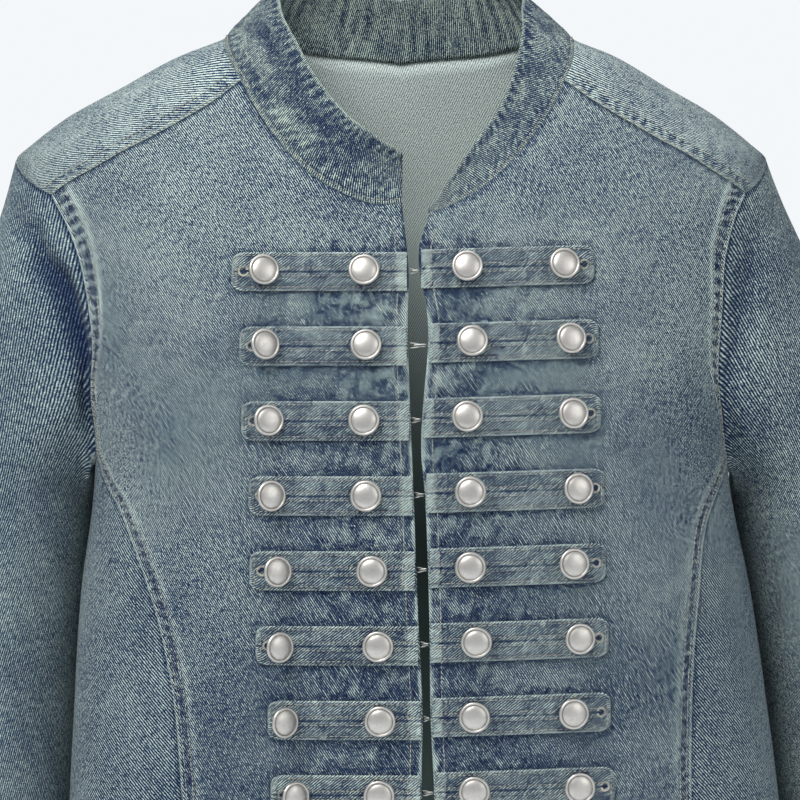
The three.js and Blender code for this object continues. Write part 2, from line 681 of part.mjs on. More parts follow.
/** Makes a sleeve: lofted from the armhole to a level ring, then down ring by ring to the cuff. */
function sleeveMesh(name, half, seams) {
  const rings = SLEEVE_RINGS[half];
  const folds = SLEEVE_FOLDS[half];
  const loop = [
    ...seams.armhole.slice(0, -1),
    ...seams.backLoop.slice().reverse().slice(0, -1),
    ...seams.underarm.slice().reverse().slice(0, -1),
  ];
  const count = loop.length;
  const middle = new THREE.Vector3();
  loop.forEach((point) => middle.addScaledVector(point, 1 / count));
  const normals = loop.map(bodyNormal);
  const ringPoint = (ring, angle) => new THREE.Vector3(
    ring.x + seams.sign * ring.halfWidth * Math.cos(angle),
    ring.y + ring.halfDepth * Math.sin(angle),
    ring.z,
  );
  const starts = [];
  const rows = [];
  const angles = loop.map((point) => Math.atan2(
    point.y / CAP_HALF_DEPTH, (point.z - CAP_MIDDLE_HEIGHT) / CAP_HALF_HEIGHT,
  ));
  for (let column = 0; column < count; column += 1) {
    const along = loop[(column + 1) % count].clone().sub(loop[(column + count - 1) % count]).normalize();
    const away = normals[column].clone().cross(along).normalize();
    if (away.dot(loop[column].clone().sub(middle).setX(0)) > 0) {
      away.negate();
    }
    starts.push({ away, edge: loop[column].clone().addScaledVector(away, SEAM_GAP / 2) });
  }
  for (const step of CAP_STEPS) {
    rows.push(starts.map((start, column) => {
      const target = ringPoint(rings[0], angles[column]);
      const length = target.distanceTo(start.edge);
      const { topDepth, underarmDepth, across, drop, share, fall } = CAP_START;
      const low = THREE.MathUtils.smoothstep(-start.edge.z, topDepth, underarmDepth);
      const way = start.away.clone().multiplyScalar(1 - low)
        .addScaledVector(new THREE.Vector3(seams.sign * across, 0, -drop), low + share)
        .add(new THREE.Vector3(0, 0, -fall))
        .normalize()
        .multiplyScalar(length);
      return hermitePoint(start.edge, way, target, new THREE.Vector3(0, 0, -length), step);
    }));
  }
  for (const ring of rings) {
    rows.push(angles.map((angle) => ringPoint(ring, angle)));
  }
  const cuff = rings[rings.length - 1];
  const outward = rows[rows.length - 1][0].clone().sub(new THREE.Vector3(cuff.x, cuff.y, cuff.z));
  const flat = gridNormals(rows, true, outward);
  const outer = rows.map((line, row) => line.map((point, column) => {
    const start = starts[column].edge;
    const frontShare = THREE.MathUtils.smoothstep(-start.y, FOLD_FADE.from, FOLD_FADE.to);
    const depth = row === 0 ? 0 : readTable(folds, 'z', 'depth', start.z) * frontShare;
    const reach = readTable(folds, 'z', 'reach', start.z);
    const away = (point.distanceTo(start) - reach) / FOLD_WIDTH;
    return point.clone().addScaledVector(flat[row][column], -depth * Math.exp(-away * away));
  }));
  const faces = gridNormals(outer, true, outward);
  const inner = outer.map((line, row) => line.map((point, column) => {
    const normal = row === 0 ? normals[column] : faces[row][column];
    return point.clone().addScaledVector(normal, -CLOTH);
  }));
  return namedMesh(name, wallGeometry(outer, inner, true), denim);
}

/** Makes the stand collar as one band on the whole neck seam. */
function collarMesh(right, left) {
  const seam = [
    ...right.neck,
    ...right.sideNeck.slice().reverse().slice(1),
    ...right.backNeck.slice(1),
    ...left.backNeck.slice().reverse().slice(1),
    ...left.sideNeck.slice(1),
    ...left.neck.slice().reverse().slice(1),
  ];
  const normals = seam.map(bodyNormal);
  const outer = [];
  const leans = seam.map((point, column) => {
    const turn = THREE.MathUtils.radToDeg(Math.atan2(point.x, -(point.y + TURN_CENTRE)));
    const half = column <= seam.length / 2 ? -1 : 1;
    const signed = Math.abs(turn) > NAPE_TURN ? half * Math.abs(turn) : turn;
    return {
      turn: signed,
      way: new THREE.Vector3(
        readTable(COLLAR_LEAN, 'turn', 'across', signed),
        readTable(COLLAR_LEAN, 'turn', 'back', signed),
        readTable(COLLAR_LEAN, 'turn', 'rise', signed),
      ),
    };
  });
  for (let row = 0; row <= COLLAR_ROWS; row += 1) {
    const share = row / COLLAR_ROWS;
    outer.push(seam.map((point, column) => {
      const { turn, way } = leans[column];
      const start = point.clone().addScaledVector(way.clone().normalize(), SEAM_GAP / 2);
      const dent = COLLAR_DENT;
      const ends = THREE.MathUtils.smoothstep(turn, dent.from, dent.from + dent.fade)
        * (1 - THREE.MathUtils.smoothstep(turn, dent.to - dent.fade, dent.to));
      const away = (share - dent.share) / dent.reach;
      const raise = COLLAR_BULGE * 4 * share * (1 - share) - dent.depth * ends * Math.exp(-away * away);
      return start.addScaledVector(way, share).addScaledVector(normals[column], raise);
    }));
  }
  const faces = gridNormals(outer, false, normals[0]);
  const inner = outer.map((line, row) => line.map((point, column) => {
    const normal = row === 0 ? normals[column] : faces[row][column];
    return point.clone().addScaledVector(normal, -COLLAR_THICKNESS);
  }));
  return namedMesh('collar', wallGeometry(outer, inner), denim);
}

/** Gives where a tab's middle line is at an X. */
function tabHeightAt(half, row, x) {
  return TABS[half].first - row * TAB_PITCH + TABS[half].slope * (Math.abs(x) - TAB_SLOPE_CENTRE);
}

/** Gives the X of a front panel's edge at a height. */
function edgeAt(half, z) {
  return readTable(SEAMS[half].edge, 'z', 'x', z);
}

/** Makes one tab from the front's own points, moved out. */
function tabMesh(name, half, row) {
  const sign = half === 'left' ? 1 : -1;
  const { end } = TABS[half].rows[row];
  const start = edgeAt(half, tabHeightAt(half, row, 0)) + sign * TAB_EDGE_INSET;
  const layers = [TAB_CLEARANCE + TAB_THICKNESS, TAB_CLEARANCE].map((lift) =>
    TAB_ACROSS.map((across) => TAB_STEPS.map((step) => {
      const x = THREE.MathUtils.lerp(end, start, step);
      const toEnd = Math.min(Math.abs(x - end) / TAB_CORNER, 1);
      const round = Math.sqrt(1 - (1 - toEnd) ** 2);
      const halfHeight = (TAB_HEIGHT / 2) * (TAB_END_SHARE + (1 - TAB_END_SHARE) * round);
      const point = onFace(x, tabHeightAt(half, row, x) + across * halfHeight, -1);
      return point.addScaledVector(bodyNormal(point), lift);
    })));
  return namedMesh(name, wallGeometry(layers[0], layers[1]), darkDenim);
}

/** Makes one tack button: a short shank that bends, and a cap with a raised rim and a low dome. */
function buttonMesh(name, half, row, which) {
  const sizes = TABS[half].rows[row];
  const tip = which === 'outer' ? THREE.MathUtils.degToRad(sizes.tip) : 0;
  const reachUp = (BUTTON_RADIUS * Math.sin(tip) + TIP_CLEARANCE) / Math.cos(tip);
  const shank = Math.max(SHANK_HEIGHT, reachUp);
  const lean = shank * Math.sin(tip / 2);
  const x = sizes[which] - lean;
  const base = onFace(x, tabHeightAt(half, row, x), -1);
  const normal = bodyNormal(base);
  base.addScaledVector(normal, TAB_CLEARANCE + TAB_THICKNESS + BUTTON_CLEARANCE);
  const side = new THREE.Vector3(1, 0, 0).addScaledVector(normal, -normal.x).normalize();
  const up = normal.clone().cross(side).normalize();
  const profile = [
    { radius: SHANK_RADIUS, height: 0, bend: 0 },
    { radius: SHANK_RADIUS, height: shank * SHANK_BEND.height, bend: SHANK_BEND.bend },
    { radius: BUTTON_RADIUS - BUTTON_EDGE_INSET, height: shank, bend: 1 },
    { radius: BUTTON_RADIUS, height: shank + BUTTON_RIM_HEIGHT / 2, bend: 1 },
    { radius: BUTTON_RADIUS - BUTTON_RIM, height: shank + BUTTON_RIM_HEIGHT, bend: 1 },
  ];
  const positions = [base.x, base.y, base.z];
  const centreAt = (height, bend) => base.clone()
    .addScaledVector(normal, height * Math.cos((bend * tip) / 2))
    .addScaledVector(side, height * Math.sin((bend * tip) / 2));
  for (const { radius, height, bend } of profile) {
    const centre = centreAt(height, bend);
    const tipped = side.clone().multiplyScalar(Math.cos(tip * bend))
      .addScaledVector(normal, -Math.sin(tip * bend));
    for (let step = 0; step < BUTTON_SIDES; step += 1) {
      const angle = (2 * Math.PI * step) / BUTTON_SIDES;
      const point = centre.clone()
        .addScaledVector(tipped, radius * Math.cos(angle))
        .addScaledVector(up, radius * Math.sin(angle));
      positions.push(point.x, point.y, point.z);
    }
  }
  const crown = centreAt(shank, 1)
    .addScaledVector(normal, BUTTON_CAP * Math.cos(tip))
    .addScaledVector(side, BUTTON_CAP * Math.sin(tip));
  positions.push(crown.x, crown.y, crown.z);
  const crownIndex = positions.length / 3 - 1;
  const indices = [];
  for (let step = 0; step < BUTTON_SIDES; step += 1) {
    const next = (step + 1) % BUTTON_SIDES;
    indices.push(0, 1 + next, 1 + step);
    for (let ring = 0; ring < profile.length - 1; ring += 1) {
      const low = 1 + ring * BUTTON_SIDES;
      const high = low + BUTTON_SIDES;
      indices.push(low + step, low + next, high + next, low + step, high + next, high + step);
    }
    const last = 1 + (profile.length - 1) * BUTTON_SIDES;
    indices.push(last + step, last + next, crownIndex);
  }
  return namedMesh(name, closedGeometry(positions, indices), silver);
}

const group = new THREE.Group();
const right = halfSeams('right');
const left = halfSeams('left');
group.add(frontPanel('front_right', right), frontPanel('front_left', left));
group.add(sidePanel('side_right', right), sidePanel('side_left', left));
group.add(backPanel(right, left));
group.add(collarMesh(right, left));
group.add(sleeveMesh('sleeve_right', 'right', right), sleeveMesh('sleeve_left', 'left', left));
for (const half of ['right', 'left']) {
  for (let row = 0; row < TAB_ROWS; row += 1) {
    group.add(tabMesh(`tab_${half}_${row + 1}`, half, row));
    for (const which of ['inner', 'outer']) {
      group.add(buttonMesh(`button_${half}_${which}_${row + 1}`, half, row, which));
    }
  }
}

export default group;
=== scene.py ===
"""A hollow, upright denim band jacket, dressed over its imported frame.

Every cloth piece is a closed thin wall whose outer face is a function on a grid. Lengths in this
script are millimetres until a mesh is made. +X is the wearer's left, -Y the front and +Z up.
"""

import logging
import math
from dataclasses import dataclass, field, replace
from enum import Enum

import bpy
import numpy as np
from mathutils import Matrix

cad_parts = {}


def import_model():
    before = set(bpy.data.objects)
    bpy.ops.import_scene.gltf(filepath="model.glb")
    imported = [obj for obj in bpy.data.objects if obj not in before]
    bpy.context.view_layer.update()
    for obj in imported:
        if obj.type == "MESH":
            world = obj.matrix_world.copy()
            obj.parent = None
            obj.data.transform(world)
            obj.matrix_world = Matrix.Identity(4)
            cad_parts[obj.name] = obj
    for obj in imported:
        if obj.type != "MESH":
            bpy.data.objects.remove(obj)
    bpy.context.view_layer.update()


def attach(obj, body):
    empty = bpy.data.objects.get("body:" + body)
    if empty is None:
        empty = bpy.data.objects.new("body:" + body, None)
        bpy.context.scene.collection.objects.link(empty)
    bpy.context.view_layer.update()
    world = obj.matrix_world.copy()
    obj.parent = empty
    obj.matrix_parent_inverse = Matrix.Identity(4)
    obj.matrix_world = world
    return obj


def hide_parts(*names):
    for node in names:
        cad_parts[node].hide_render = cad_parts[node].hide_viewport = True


Array = np.ndarray
Table = dict[str, list[float]]

METRES = 0.001
CLOTH = 1.4
COLLAR_THICKNESS = 2.4
SEAM_GAP = 0.3
HEM_HEIGHT = -480.0
CUFF_HEIGHT = -640.0
UNDERARM_HEIGHT = -239.0
ARMHOLE_TOP_HEIGHT = -67.0
TAB_HEIGHT = 21.0
HEM_STITCHES = 12.0
SHADE_LIMITS = (-1.6, 1.8)
TAB_PITCH = 40.0
TAB_ROWS = 8

log = logging.getLogger("jacket")


class Half(Enum):
    """The wearer's two sides."""

    RIGHT = "right"
    LEFT = "left"

    @property
    def sign(self) -> int:
        """Gives the side's direction along X."""
        return 1 if self is Half.LEFT else -1


class Face(Enum):
    """The front and back of the body's form."""

    FRONT = -1
    BACK = 1


def read_table(table: Table, key: str, column: str, at: Array) -> Array:
    """Reads a column at some keys by a smooth cubic whose slopes join each row's neighbours.

    Args:
        table: Named columns of equal length.
        key: The column that orders the rows.
        column: The column to read.
        at: The keys to read at, held within the table.

    Returns:
        The values, shaped like at.
    """
    keys = np.array(table[key], float)
    values = np.array(table[column], float)
    order = np.argsort(keys)
    keys, values = keys[order], values[order]
    ahead = np.minimum(np.arange(len(keys)) + 1, len(keys) - 1)
    behind = np.maximum(np.arange(len(keys)) - 1, 0)
    slopes = (values[ahead] - values[behind]) / (keys[ahead] - keys[behind])
    place = np.clip(at, keys[0], keys[-1])
    low = np.clip(np.searchsorted(keys, place) - 1, 0, len(keys) - 2)
    span = keys[low + 1] - keys[low]
    t = (place - keys[low]) / span
    value = values[low] * (1 + 2 * t) * (1 - t) ** 2 + values[low + 1] * t * t * (3 - 2 * t)
    return value + span * (slopes[low] * t * (1 - t) ** 2 + slopes[low + 1] * t * t * (t - 1))


def smooth_step(value: Array, low: float, high: float) -> Array:
    """Rises from 0 to 1 between low and high with level ends."""
    t = np.clip((value - low) / (high - low), 0, 1)
    return t * t * (3 - 2 * t)


def lattice_noise(x: Array, y: Array, seed: int) -> Array:
    """Gives smooth noise from -1 to 1 with a cell of one unit, by blending hashed lattice corners."""
    corner_x, corner_y = np.floor(x), np.floor(y)
    share_x, share_y = x - corner_x, y - corner_y
    share_x = share_x * share_x * (3 - 2 * share_x)
    share_y = share_y * share_y * (3 - 2 * share_y)

    def corner(step_x: int, step_y: int) -> Array:
        """Hashes one lattice corner: the fraction of a large sine."""
        mixed = (corner_x + step_x) * 127.1 + (corner_y + step_y) * 311.7 + seed * 74.7
        value = np.sin(mixed) * 43758.5453
        return 2 * (value - np.floor(value)) - 1

    low = corner(0, 0) * (1 - share_x) + corner(1, 0) * share_x
    high = corner(0, 1) * (1 - share_x) + corner(1, 1) * share_x
    return low * (1 - share_y) + high * share_y


def layered_noise(x: Array, y: Array, seed: int) -> Array:
    """Gives three octaves of lattice noise, each half as large as the one before."""
    first = lattice_noise(x, y, seed)
    second = lattice_noise(x * 2.1 + 5.3, y * 2.1 + 1.7, seed + 1)
    third = lattice_noise(x * 4.3 + 2.9, y * 4.3 + 8.1, seed + 2)
    return (first + 0.5 * second + 0.25 * third) / 1.6


def unit(vectors: Array) -> Array:
    """Scales vectors to length one."""
    return vectors / np.maximum(np.linalg.norm(vectors, axis=-1, keepdims=True), 1e-9)


def smooth_curve(points: Array, cells: int) -> Array:
    """Spaces points evenly along the centripetal Catmull-Rom curve through some points.

    Args:
        points: The points that the curve passes, one row each.
        cells: How many equal steps to make.

    Returns:
        The cells + 1 points.
    """
    padded = np.vstack([2 * points[0] - points[1], points, 2 * points[-1] - points[-2]])
    gaps = np.sqrt(np.linalg.norm(np.diff(padded, axis=0), axis=1))[:, None]
    before, here, after = gaps[:-2], gaps[1:-1], gaps[2:]
    p0, p1, p2, p3 = padded[:-3], padded[1:-2], padded[2:-1], padded[3:]
    start = ((p1 - p0) / before - (p2 - p0) / (before + here) + (p2 - p1) / here) * here
    end = ((p2 - p1) / here - (p3 - p1) / (here + after) + (p3 - p2) / after) * here
    t = np.linspace(0, 1, 60, endpoint=False)[None, :, None]
    dense = (
        p1[:, None] * (1 + 2 * t) * (1 - t) ** 2 + p2[:, None] * t * t * (3 - 2 * t)
        + start[:, None] * t * (1 - t) ** 2 + end[:, None] * t * t * (t - 1)
    )
    dense = np.vstack([dense.reshape(-1, points.shape[1]), points[-1]])
    lengths = np.concatenate([[0], np.cumsum(np.linalg.norm(np.diff(dense, axis=0), axis=1))])
    wanted = np.linspace(0, lengths[-1], cells + 1)
    return np.stack([np.interp(wanted, lengths, dense[:, k]) for k in range(points.shape[1])], axis=1)


@dataclass(frozen=True)
class BodyForm:
    """The body's form: level sections like rounded ovals, by height."""

    sections: Table = field(default_factory=lambda: {
        "height": [-530, -424, -313, -232, -180, -130, -90, -67, -60, -43, -27, -11, 0, 20, 34],
        "half_width": [203, 197.5, 187, 176, 187, 203, 211, 209, 202, 180, 152, 124, 97, 60, 5],
        "middle": [17, 13.5, 9, 6, 2, -2, -4, -5, -5, -4, -3, -2, -1, 0, 0],
        "front": [96, 101, 108, 108, 103, 94, 84, 75, 72, 66, 60, 54, 50, 44, 40],
        "back": [88, 86, 94, 100, 99, 95, 88, 82, 80, 75, 70, 65, 62, 56, 50],
    })
    width_power: float = 3.0
    depth_power: float = 2.3
    shoulder_height: float = -90.0
    shoulder_radius: float = 75.0
    side_reach: float = 3.0

    def section(self, z: Array, column: str) -> Array:
        """Reads one size of the sections at some heights."""
        return read_table(self.sections, "height", column, z)

    def level(self, points: Array) -> Array:
        """Gives |x/w|^3 + |y/d|^2.3 - 1 at some points: below zero inside the form."""
        x, y, z = points[..., 0], points[..., 1], points[..., 2]
        depth = np.where(y < 0, self.section(z, "front"), self.section(z, "back"))
        wide = np.abs(x - self.section(z, "middle")) / self.section(z, "half_width")
        return wide ** self.width_power + (np.abs(y) / depth) ** self.depth_power - 1

    def normal(self, points: Array) -> Array:
        """Gives the form's outward normals by central differences of its level."""
        ways = []
        for axis in range(3):
            step = np.zeros(3)
            step[axis] = 0.5
            ways.append(self.level(points + step) - self.level(points - step))
        return unit(np.stack(ways, axis=-1))

    def on_face(self, x: Array, z: Array, face: Face) -> Array:
        """Gives the points of a face at some X and Z: y = d (1 - |x/w|^3)^(1/2.3)."""
        wide = np.abs(x - self.section(z, "middle")) / self.section(z, "half_width")
        depth = self.section(z, face.name.lower())
        y = face.value * depth * (1 - np.minimum(wide, 1) ** self.width_power) ** (1 / self.depth_power)
        return np.stack(np.broadcast_arrays(x, y, z), axis=-1).astype(float)

    def along_rays(self, middle: Array, ray: Array, near: float, far: float) -> Array:
        """Finds where rays leave the form, by halving."""
        low = np.full(ray.shape[:-1] + (1,), near)
        high = np.full(ray.shape[:-1] + (1,), far)
        for _ in range(40):
            half = (low + high) / 2
            inside = self.level(middle + ray * half)[..., None] < 0
            low = np.where(inside, half, low)
            high = np.where(inside, high, half)
        return middle + ray * low

    def flat_places(self, across: Array, up: Array) -> Array:
        """Lays chart places flat, in millimetres: the arc run from the middle, and the height.

        The arc is read from a quarter section's running lengths, one for each of some heights.
        """
        turns = np.linspace(0, math.pi / 2, 61)
        heights = np.linspace(-520.0, 40.0, 57)
        widths = self.section(np.minimum(heights, self.shoulder_height), "half_width")[:, None]
        depths = self.section(np.minimum(heights, self.shoulder_height), "front")[:, None]
        x = widths * np.sin(turns)
        y = depths * (1 - np.sin(turns) ** self.width_power) ** (1 / self.depth_power)
        steps = np.hypot(np.diff(x, axis=1), np.diff(y, axis=1))
        runs = np.concatenate([np.zeros((len(heights), 1)), np.cumsum(steps, axis=1)], axis=1)
        row = np.clip((up - heights[0]) / (heights[1] - heights[0]), 0, len(heights) - 1.001)
        column = np.clip(np.abs(across) / turns[1], 0, len(turns) - 1.001)
        arc = blend_grid(runs[..., None], row.ravel(), column.ravel(), False)[:, 0].reshape(across.shape)
        return np.stack([np.sign(across) * arc, up], axis=-1)

    def onto(self, points: Array) -> Array:
        """Moves points on to the form along rays from its middle line."""
        height = np.minimum(points[..., 2], self.shoulder_height)
        middle = np.stack([self.section(height, "middle"), np.zeros_like(height), height], axis=-1)
        return self.along_rays(middle, points - middle, 0.3, 2.0)

    def from_chart(self, across: Array, up: Array, face: Face) -> Array:
        """Turns chart places into points: level sections below the shoulder, slices of rays above."""
        wide = np.sin(across)
        low_x = self.section(up, "middle") + self.section(up, "half_width") * wide
        low = self.on_face(low_x, np.minimum(up, self.shoulder_height), face)
        at = np.full_like(up, self.shoulder_height)
        x = self.section(at, "middle") + self.section(at, "half_width") * wide
        angle = np.maximum(up - self.shoulder_height, 0) / self.shoulder_radius
        middle = np.stack([x, np.zeros_like(x), at], axis=-1)
        ray = np.stack([np.zeros_like(x), face.value * np.cos(angle), np.sin(angle)], axis=-1)
        high = self.along_rays(middle, ray, 0.0, 2 * self.shoulder_radius)
        return np.where((up <= self.shoulder_height)[..., None], low, high)

    def to_chart(self, points: Array, face: Face) -> Array:
        """Turns points of the form into chart places, as columns across and up."""
        x, y, z = points[..., 0], points[..., 1] * face.value, points[..., 2]
        height = np.minimum(z, self.shoulder_height)
        wide = (x - self.section(height, "middle")) / self.section(height, "half_width")
        angle = np.arctan2(z - self.shoulder_height, y)
        high = self.shoulder_height + angle * self.shoulder_radius
        up = np.where((z <= self.shoulder_height) & (y >= -self.side_reach), z, high)
        return np.stack([np.arcsin(np.clip(wide, -1, 1)), up], axis=-1)


FORM = BodyForm()

SEAM_ROWS: dict[Half, dict[str, list[tuple[float, float]]]] = {
    Half.RIGHT: {
        "edge": [
            (13, -480), (11.8, -401), (12.2, -370), (9.6, -311), (7.5, -254), (4.3, -164),
            (4.7, -131), (1.1, -94.2),
        ],
        "neck": [
            (1.1, -94.2), (-10.2, -95.3), (-22.9, -92.6), (-48.8, -78.1), (-71.9, -52.2), (-86.8, -26.3),
        ],
        "shoulder": [(-86.8, -26.3), (-106.8, -41.3), (-162.3, -71.9), (-190.4, -88.8)],
        "princess": [
            (-115.5, -480), (-117.4, -416), (-124.8, -346), (-137.2, -299), (-152.9, -260),
            (-160.8, -247), (-167.2, -230.2),
        ],
        "armhole": [
            (-167.2, -230.2), (-168.8, -205), (-167.4, -177.6), (-168.4, -156.9), (-173.1, -129.2),
            (-180.4, -108.3), (-190.4, -88.8),
        ],
    },
    Half.LEFT: {
        "edge": [
            (19, -480), (18.2, -414), (16.2, -370), (15.5, -317), (13.2, -252), (11.2, -230),
            (11.8, -209), (15, -169), (14.3, -153.5), (9.8, -122), (15.9, -99.7),
        ],
        "neck": [(15.9, -99.7), (30.2, -94.2), (53, -78.8), (76.1, -52.1), (89.9, -26.1)],
        "shoulder": [(89.9, -26.1), (111.3, -41.1), (167, -73.3), (189.2, -87.5)],
        "princess": [
            (158.5, -480), (157.3, -400), (158.4, -349), (161.5, -309), (166.5, -268), (176, -246),
            (180.8, -235),
        ],
        "armhole": [
            (180.8, -235), (176.6, -209.8), (173.7, -190), (175.2, -156.8), (176.7, -127),
            (183.2, -100.9), (189.2, -87.5),
        ],
    },
}
BACK_ARMHOLE = [(176, -224), (172, -195), (176, -162), (184, -130), (196, -100)]
SIDE_NECK = [(96, -28, -4), (97, 0, 0), (88, 30, 1)]
BACK_NECK = [(55, 58, -3), (0, 64, -9)]


@dataclass(frozen=True)
class CellCounts:
    """How many plain cells each seam has, and how many fine cells make up a plain one."""

    body: int = 12
    front_armhole: int = 9
    edge: int = 14
    neck: int = 7
    side: int = 3
    back_armhole: int = 7
    wing: int = 5
    panel: int = 6
    back_neck: int = 8


COUNTS = CellCounts()


@dataclass
class HalfSeams:
    """Works out the seams of one half of the jacket at any fineness."""

    half: Half

    def front(self, name: str) -> Array:
        """Gives a front seam's marked points on the form."""
        rows = np.array(SEAM_ROWS[self.half][name], float)
        return FORM.on_face(rows[:, 0], rows[:, 1], Face.FRONT)

    def stations(self, points: Array, cells: int) -> Array:
        """Spaces points evenly along a seam on the form."""
        return FORM.onto(smooth_curve(points, cells))

    def side_point(self, z: float) -> Array:
        """Gives the form's outermost point at a height."""
        at = np.array(z)
        x = FORM.section(at, "middle") + self.half.sign * FORM.section(at, "half_width")
        return np.array([float(x), 0.0, z])

    def front_seam(self, name: str, cells: int) -> Array:
        """Gives a front seam's stations."""
        return self.stations(self.front(name), cells)

    def side_seam(self, cells: int) -> Array:
        """Gives the side seam's stations from the hem to the underarm."""
        heights = np.linspace(HEM_HEIGHT, UNDERARM_HEIGHT, cells + 1)
        x = FORM.section(heights, "middle") + self.half.sign * FORM.section(heights, "half_width")
        return np.stack([x, np.zeros_like(x), heights], axis=1)

    def underarm(self, cells: int) -> Array:
        """Gives the armhole's stations from the princess seam to the underarm point."""
        ends = np.vstack([self.front("armhole")[0], self.side_point(UNDERARM_HEIGHT)])
        return self.stations(ends, cells)

    def back_loop(self, cells: int) -> Array:
        """Gives the armhole's stations from the underarm up the back and over to the front seam."""
        rows = np.array(BACK_ARMHOLE, float)
        middle = float(FORM.section(np.array(UNDERARM_HEIGHT), "middle"))
        behind = FORM.on_face(self.half.sign * rows[:, 0] + middle, rows[:, 1], Face.BACK)
        low, top = self.side_point(UNDERARM_HEIGHT), self.side_point(ARMHOLE_TOP_HEIGHT)
        return self.stations(np.vstack([low, behind, top, self.front("armhole")[-1]]), cells)

    def neck_points(self, rows: list[tuple[float, float, float]]) -> Array:
        """Puts marked neck points on the form."""
        return FORM.onto(np.array([(self.half.sign * out, y, z) for out, y, z in rows], float))

    def side_neck(self, cells: int) -> Array:
        """Gives the neck's stations from behind the shoulder forward to the shoulder seam."""
        points = np.vstack([self.front("shoulder")[0], self.neck_points(SIDE_NECK)])
        return self.stations(points, cells)[::-1]

    def back_neck(self, cells: int) -> Array:
        """Gives the neck's stations from behind the shoulder to the middle of the back."""
        points = np.vstack([self.neck_points(SIDE_NECK)[-1], self.neck_points(BACK_NECK)])
        return self.stations(points, cells)


def fill_patch(bottom: Array, top: Array, start: Array, end: Array) -> Array:
    """Fills a patch between four rows of chart places: level plus cross minus corner blends."""
    v = np.linspace(0, 1, len(start))[:, None, None]
    u = np.linspace(0, 1, len(bottom))[None, :, None]
    level = (1 - v) * bottom[None] + v * top[None]
    cross = (1 - u) * start[:, None] + u * end[:, None]
    low = (1 - u) * bottom[0] + u * bottom[-1]
    high = (1 - u) * top[0] + u * top[-1]
    return level + cross - (1 - v) * low - v * high


def chart_line(first: Array, last: Array, cells: int) -> Array:
    """Gives evenly spaced chart places between two places."""
    return first + (last - first) * np.linspace(0, 1, cells + 1)[:, None]


def grid_normals(grid: Array, ring: bool, outward: Array) -> Array:
    """Gives a grid's normals, on the outward side at its last row's first point."""
    if ring:
        along = np.roll(grid, -1, axis=1) - np.roll(grid, 1, axis=1)
    else:
        along = np.gradient(grid, axis=1)
    normals = unit(np.cross(along, np.gradient(grid, axis=0)))
    return normals * np.sign(np.dot(normals[-1, 0], outward))


@dataclass
class ClothGrid:
    """The outer face of a cloth piece, as a grid of points, and what rests on it."""

    points: Array
    normals: Array
    ring: bool = False
    thickness: float = CLOTH
    cells: Array | None = None
    wear_and_shade: Array | None = None
    flat: Array | None = None

    def arcs(self, axis: int) -> Array:
        """Gives the length run along rows (axis 0) or columns (axis 1) from the first one."""
        steps = np.linalg.norm(np.diff(self.points, axis=axis), axis=2)
        zero = np.zeros_like(np.take(steps, [0], axis=axis))
        return np.concatenate([zero, np.cumsum(steps, axis=axis)], axis=axis)

    def raised(self, height: Array, shade: Array | None = None) -> "ClothGrid":
        """Moves the face out by a height, and keeps a shade from -1 to 1: dark indigo hollows and painted
        shade below zero, worn ridges above.
        """
        points = self.points + self.normals * height[..., None]
        kept = self.wear_and_shade if shade is None else shade
        return replace(self, points=points, wear_and_shade=kept)

    def at(self, rows: Array, columns: Array) -> Array:
        """Reads points between the grid's own by straight blending."""
        return blend_grid(self.points, rows, columns, self.ring)

    def normal_at(self, rows: Array, columns: Array) -> Array:
        """Reads normals between the grid's own."""
        return unit(blend_grid(self.normals, rows, columns, self.ring))

    def inset(self) -> Array:
        """Draws every free edge in by half a seam gap."""
        moved = self.points.copy()
        for axis in (0, 1):
            if axis == 1 and self.ring:
                continue
            grid = np.moveaxis(self.points, axis, 0)
            target = np.moveaxis(moved, axis, 0)
            for edge, inner in ((0, 1), (-1, -2)):
                along = unit(np.gradient(grid[edge], axis=0))
                way = grid[inner] - grid[edge]
                way = unit(way - along * np.sum(way * along, axis=1, keepdims=True))
                target[edge] += way * SEAM_GAP / 2
        return moved


def blend_grid(grid: Array, rows: Array, columns: Array, ring: bool) -> Array:
    """Blends the four grid values round each fractional row and column."""
    low_row = np.clip(np.floor(rows).astype(int), 0, grid.shape[0] - 2)
    share_row = np.clip(rows - low_row, 0, 1)[:, None]
    count = grid.shape[1]
    low_column = np.floor(columns).astype(int)
    if not ring:
        low_column = np.clip(low_column, 0, count - 2)
    share_column = np.clip(columns - low_column, 0, 1)[:, None]
    here, there = low_column % count, (low_column + 1) % count
    low = grid[low_row, here] * (1 - share_column) + grid[low_row, there] * share_column
    high = grid[low_row + 1, here] * (1 - share_column) + grid[low_row + 1, there] * share_column
    return low * (1 - share_row) + high * share_row


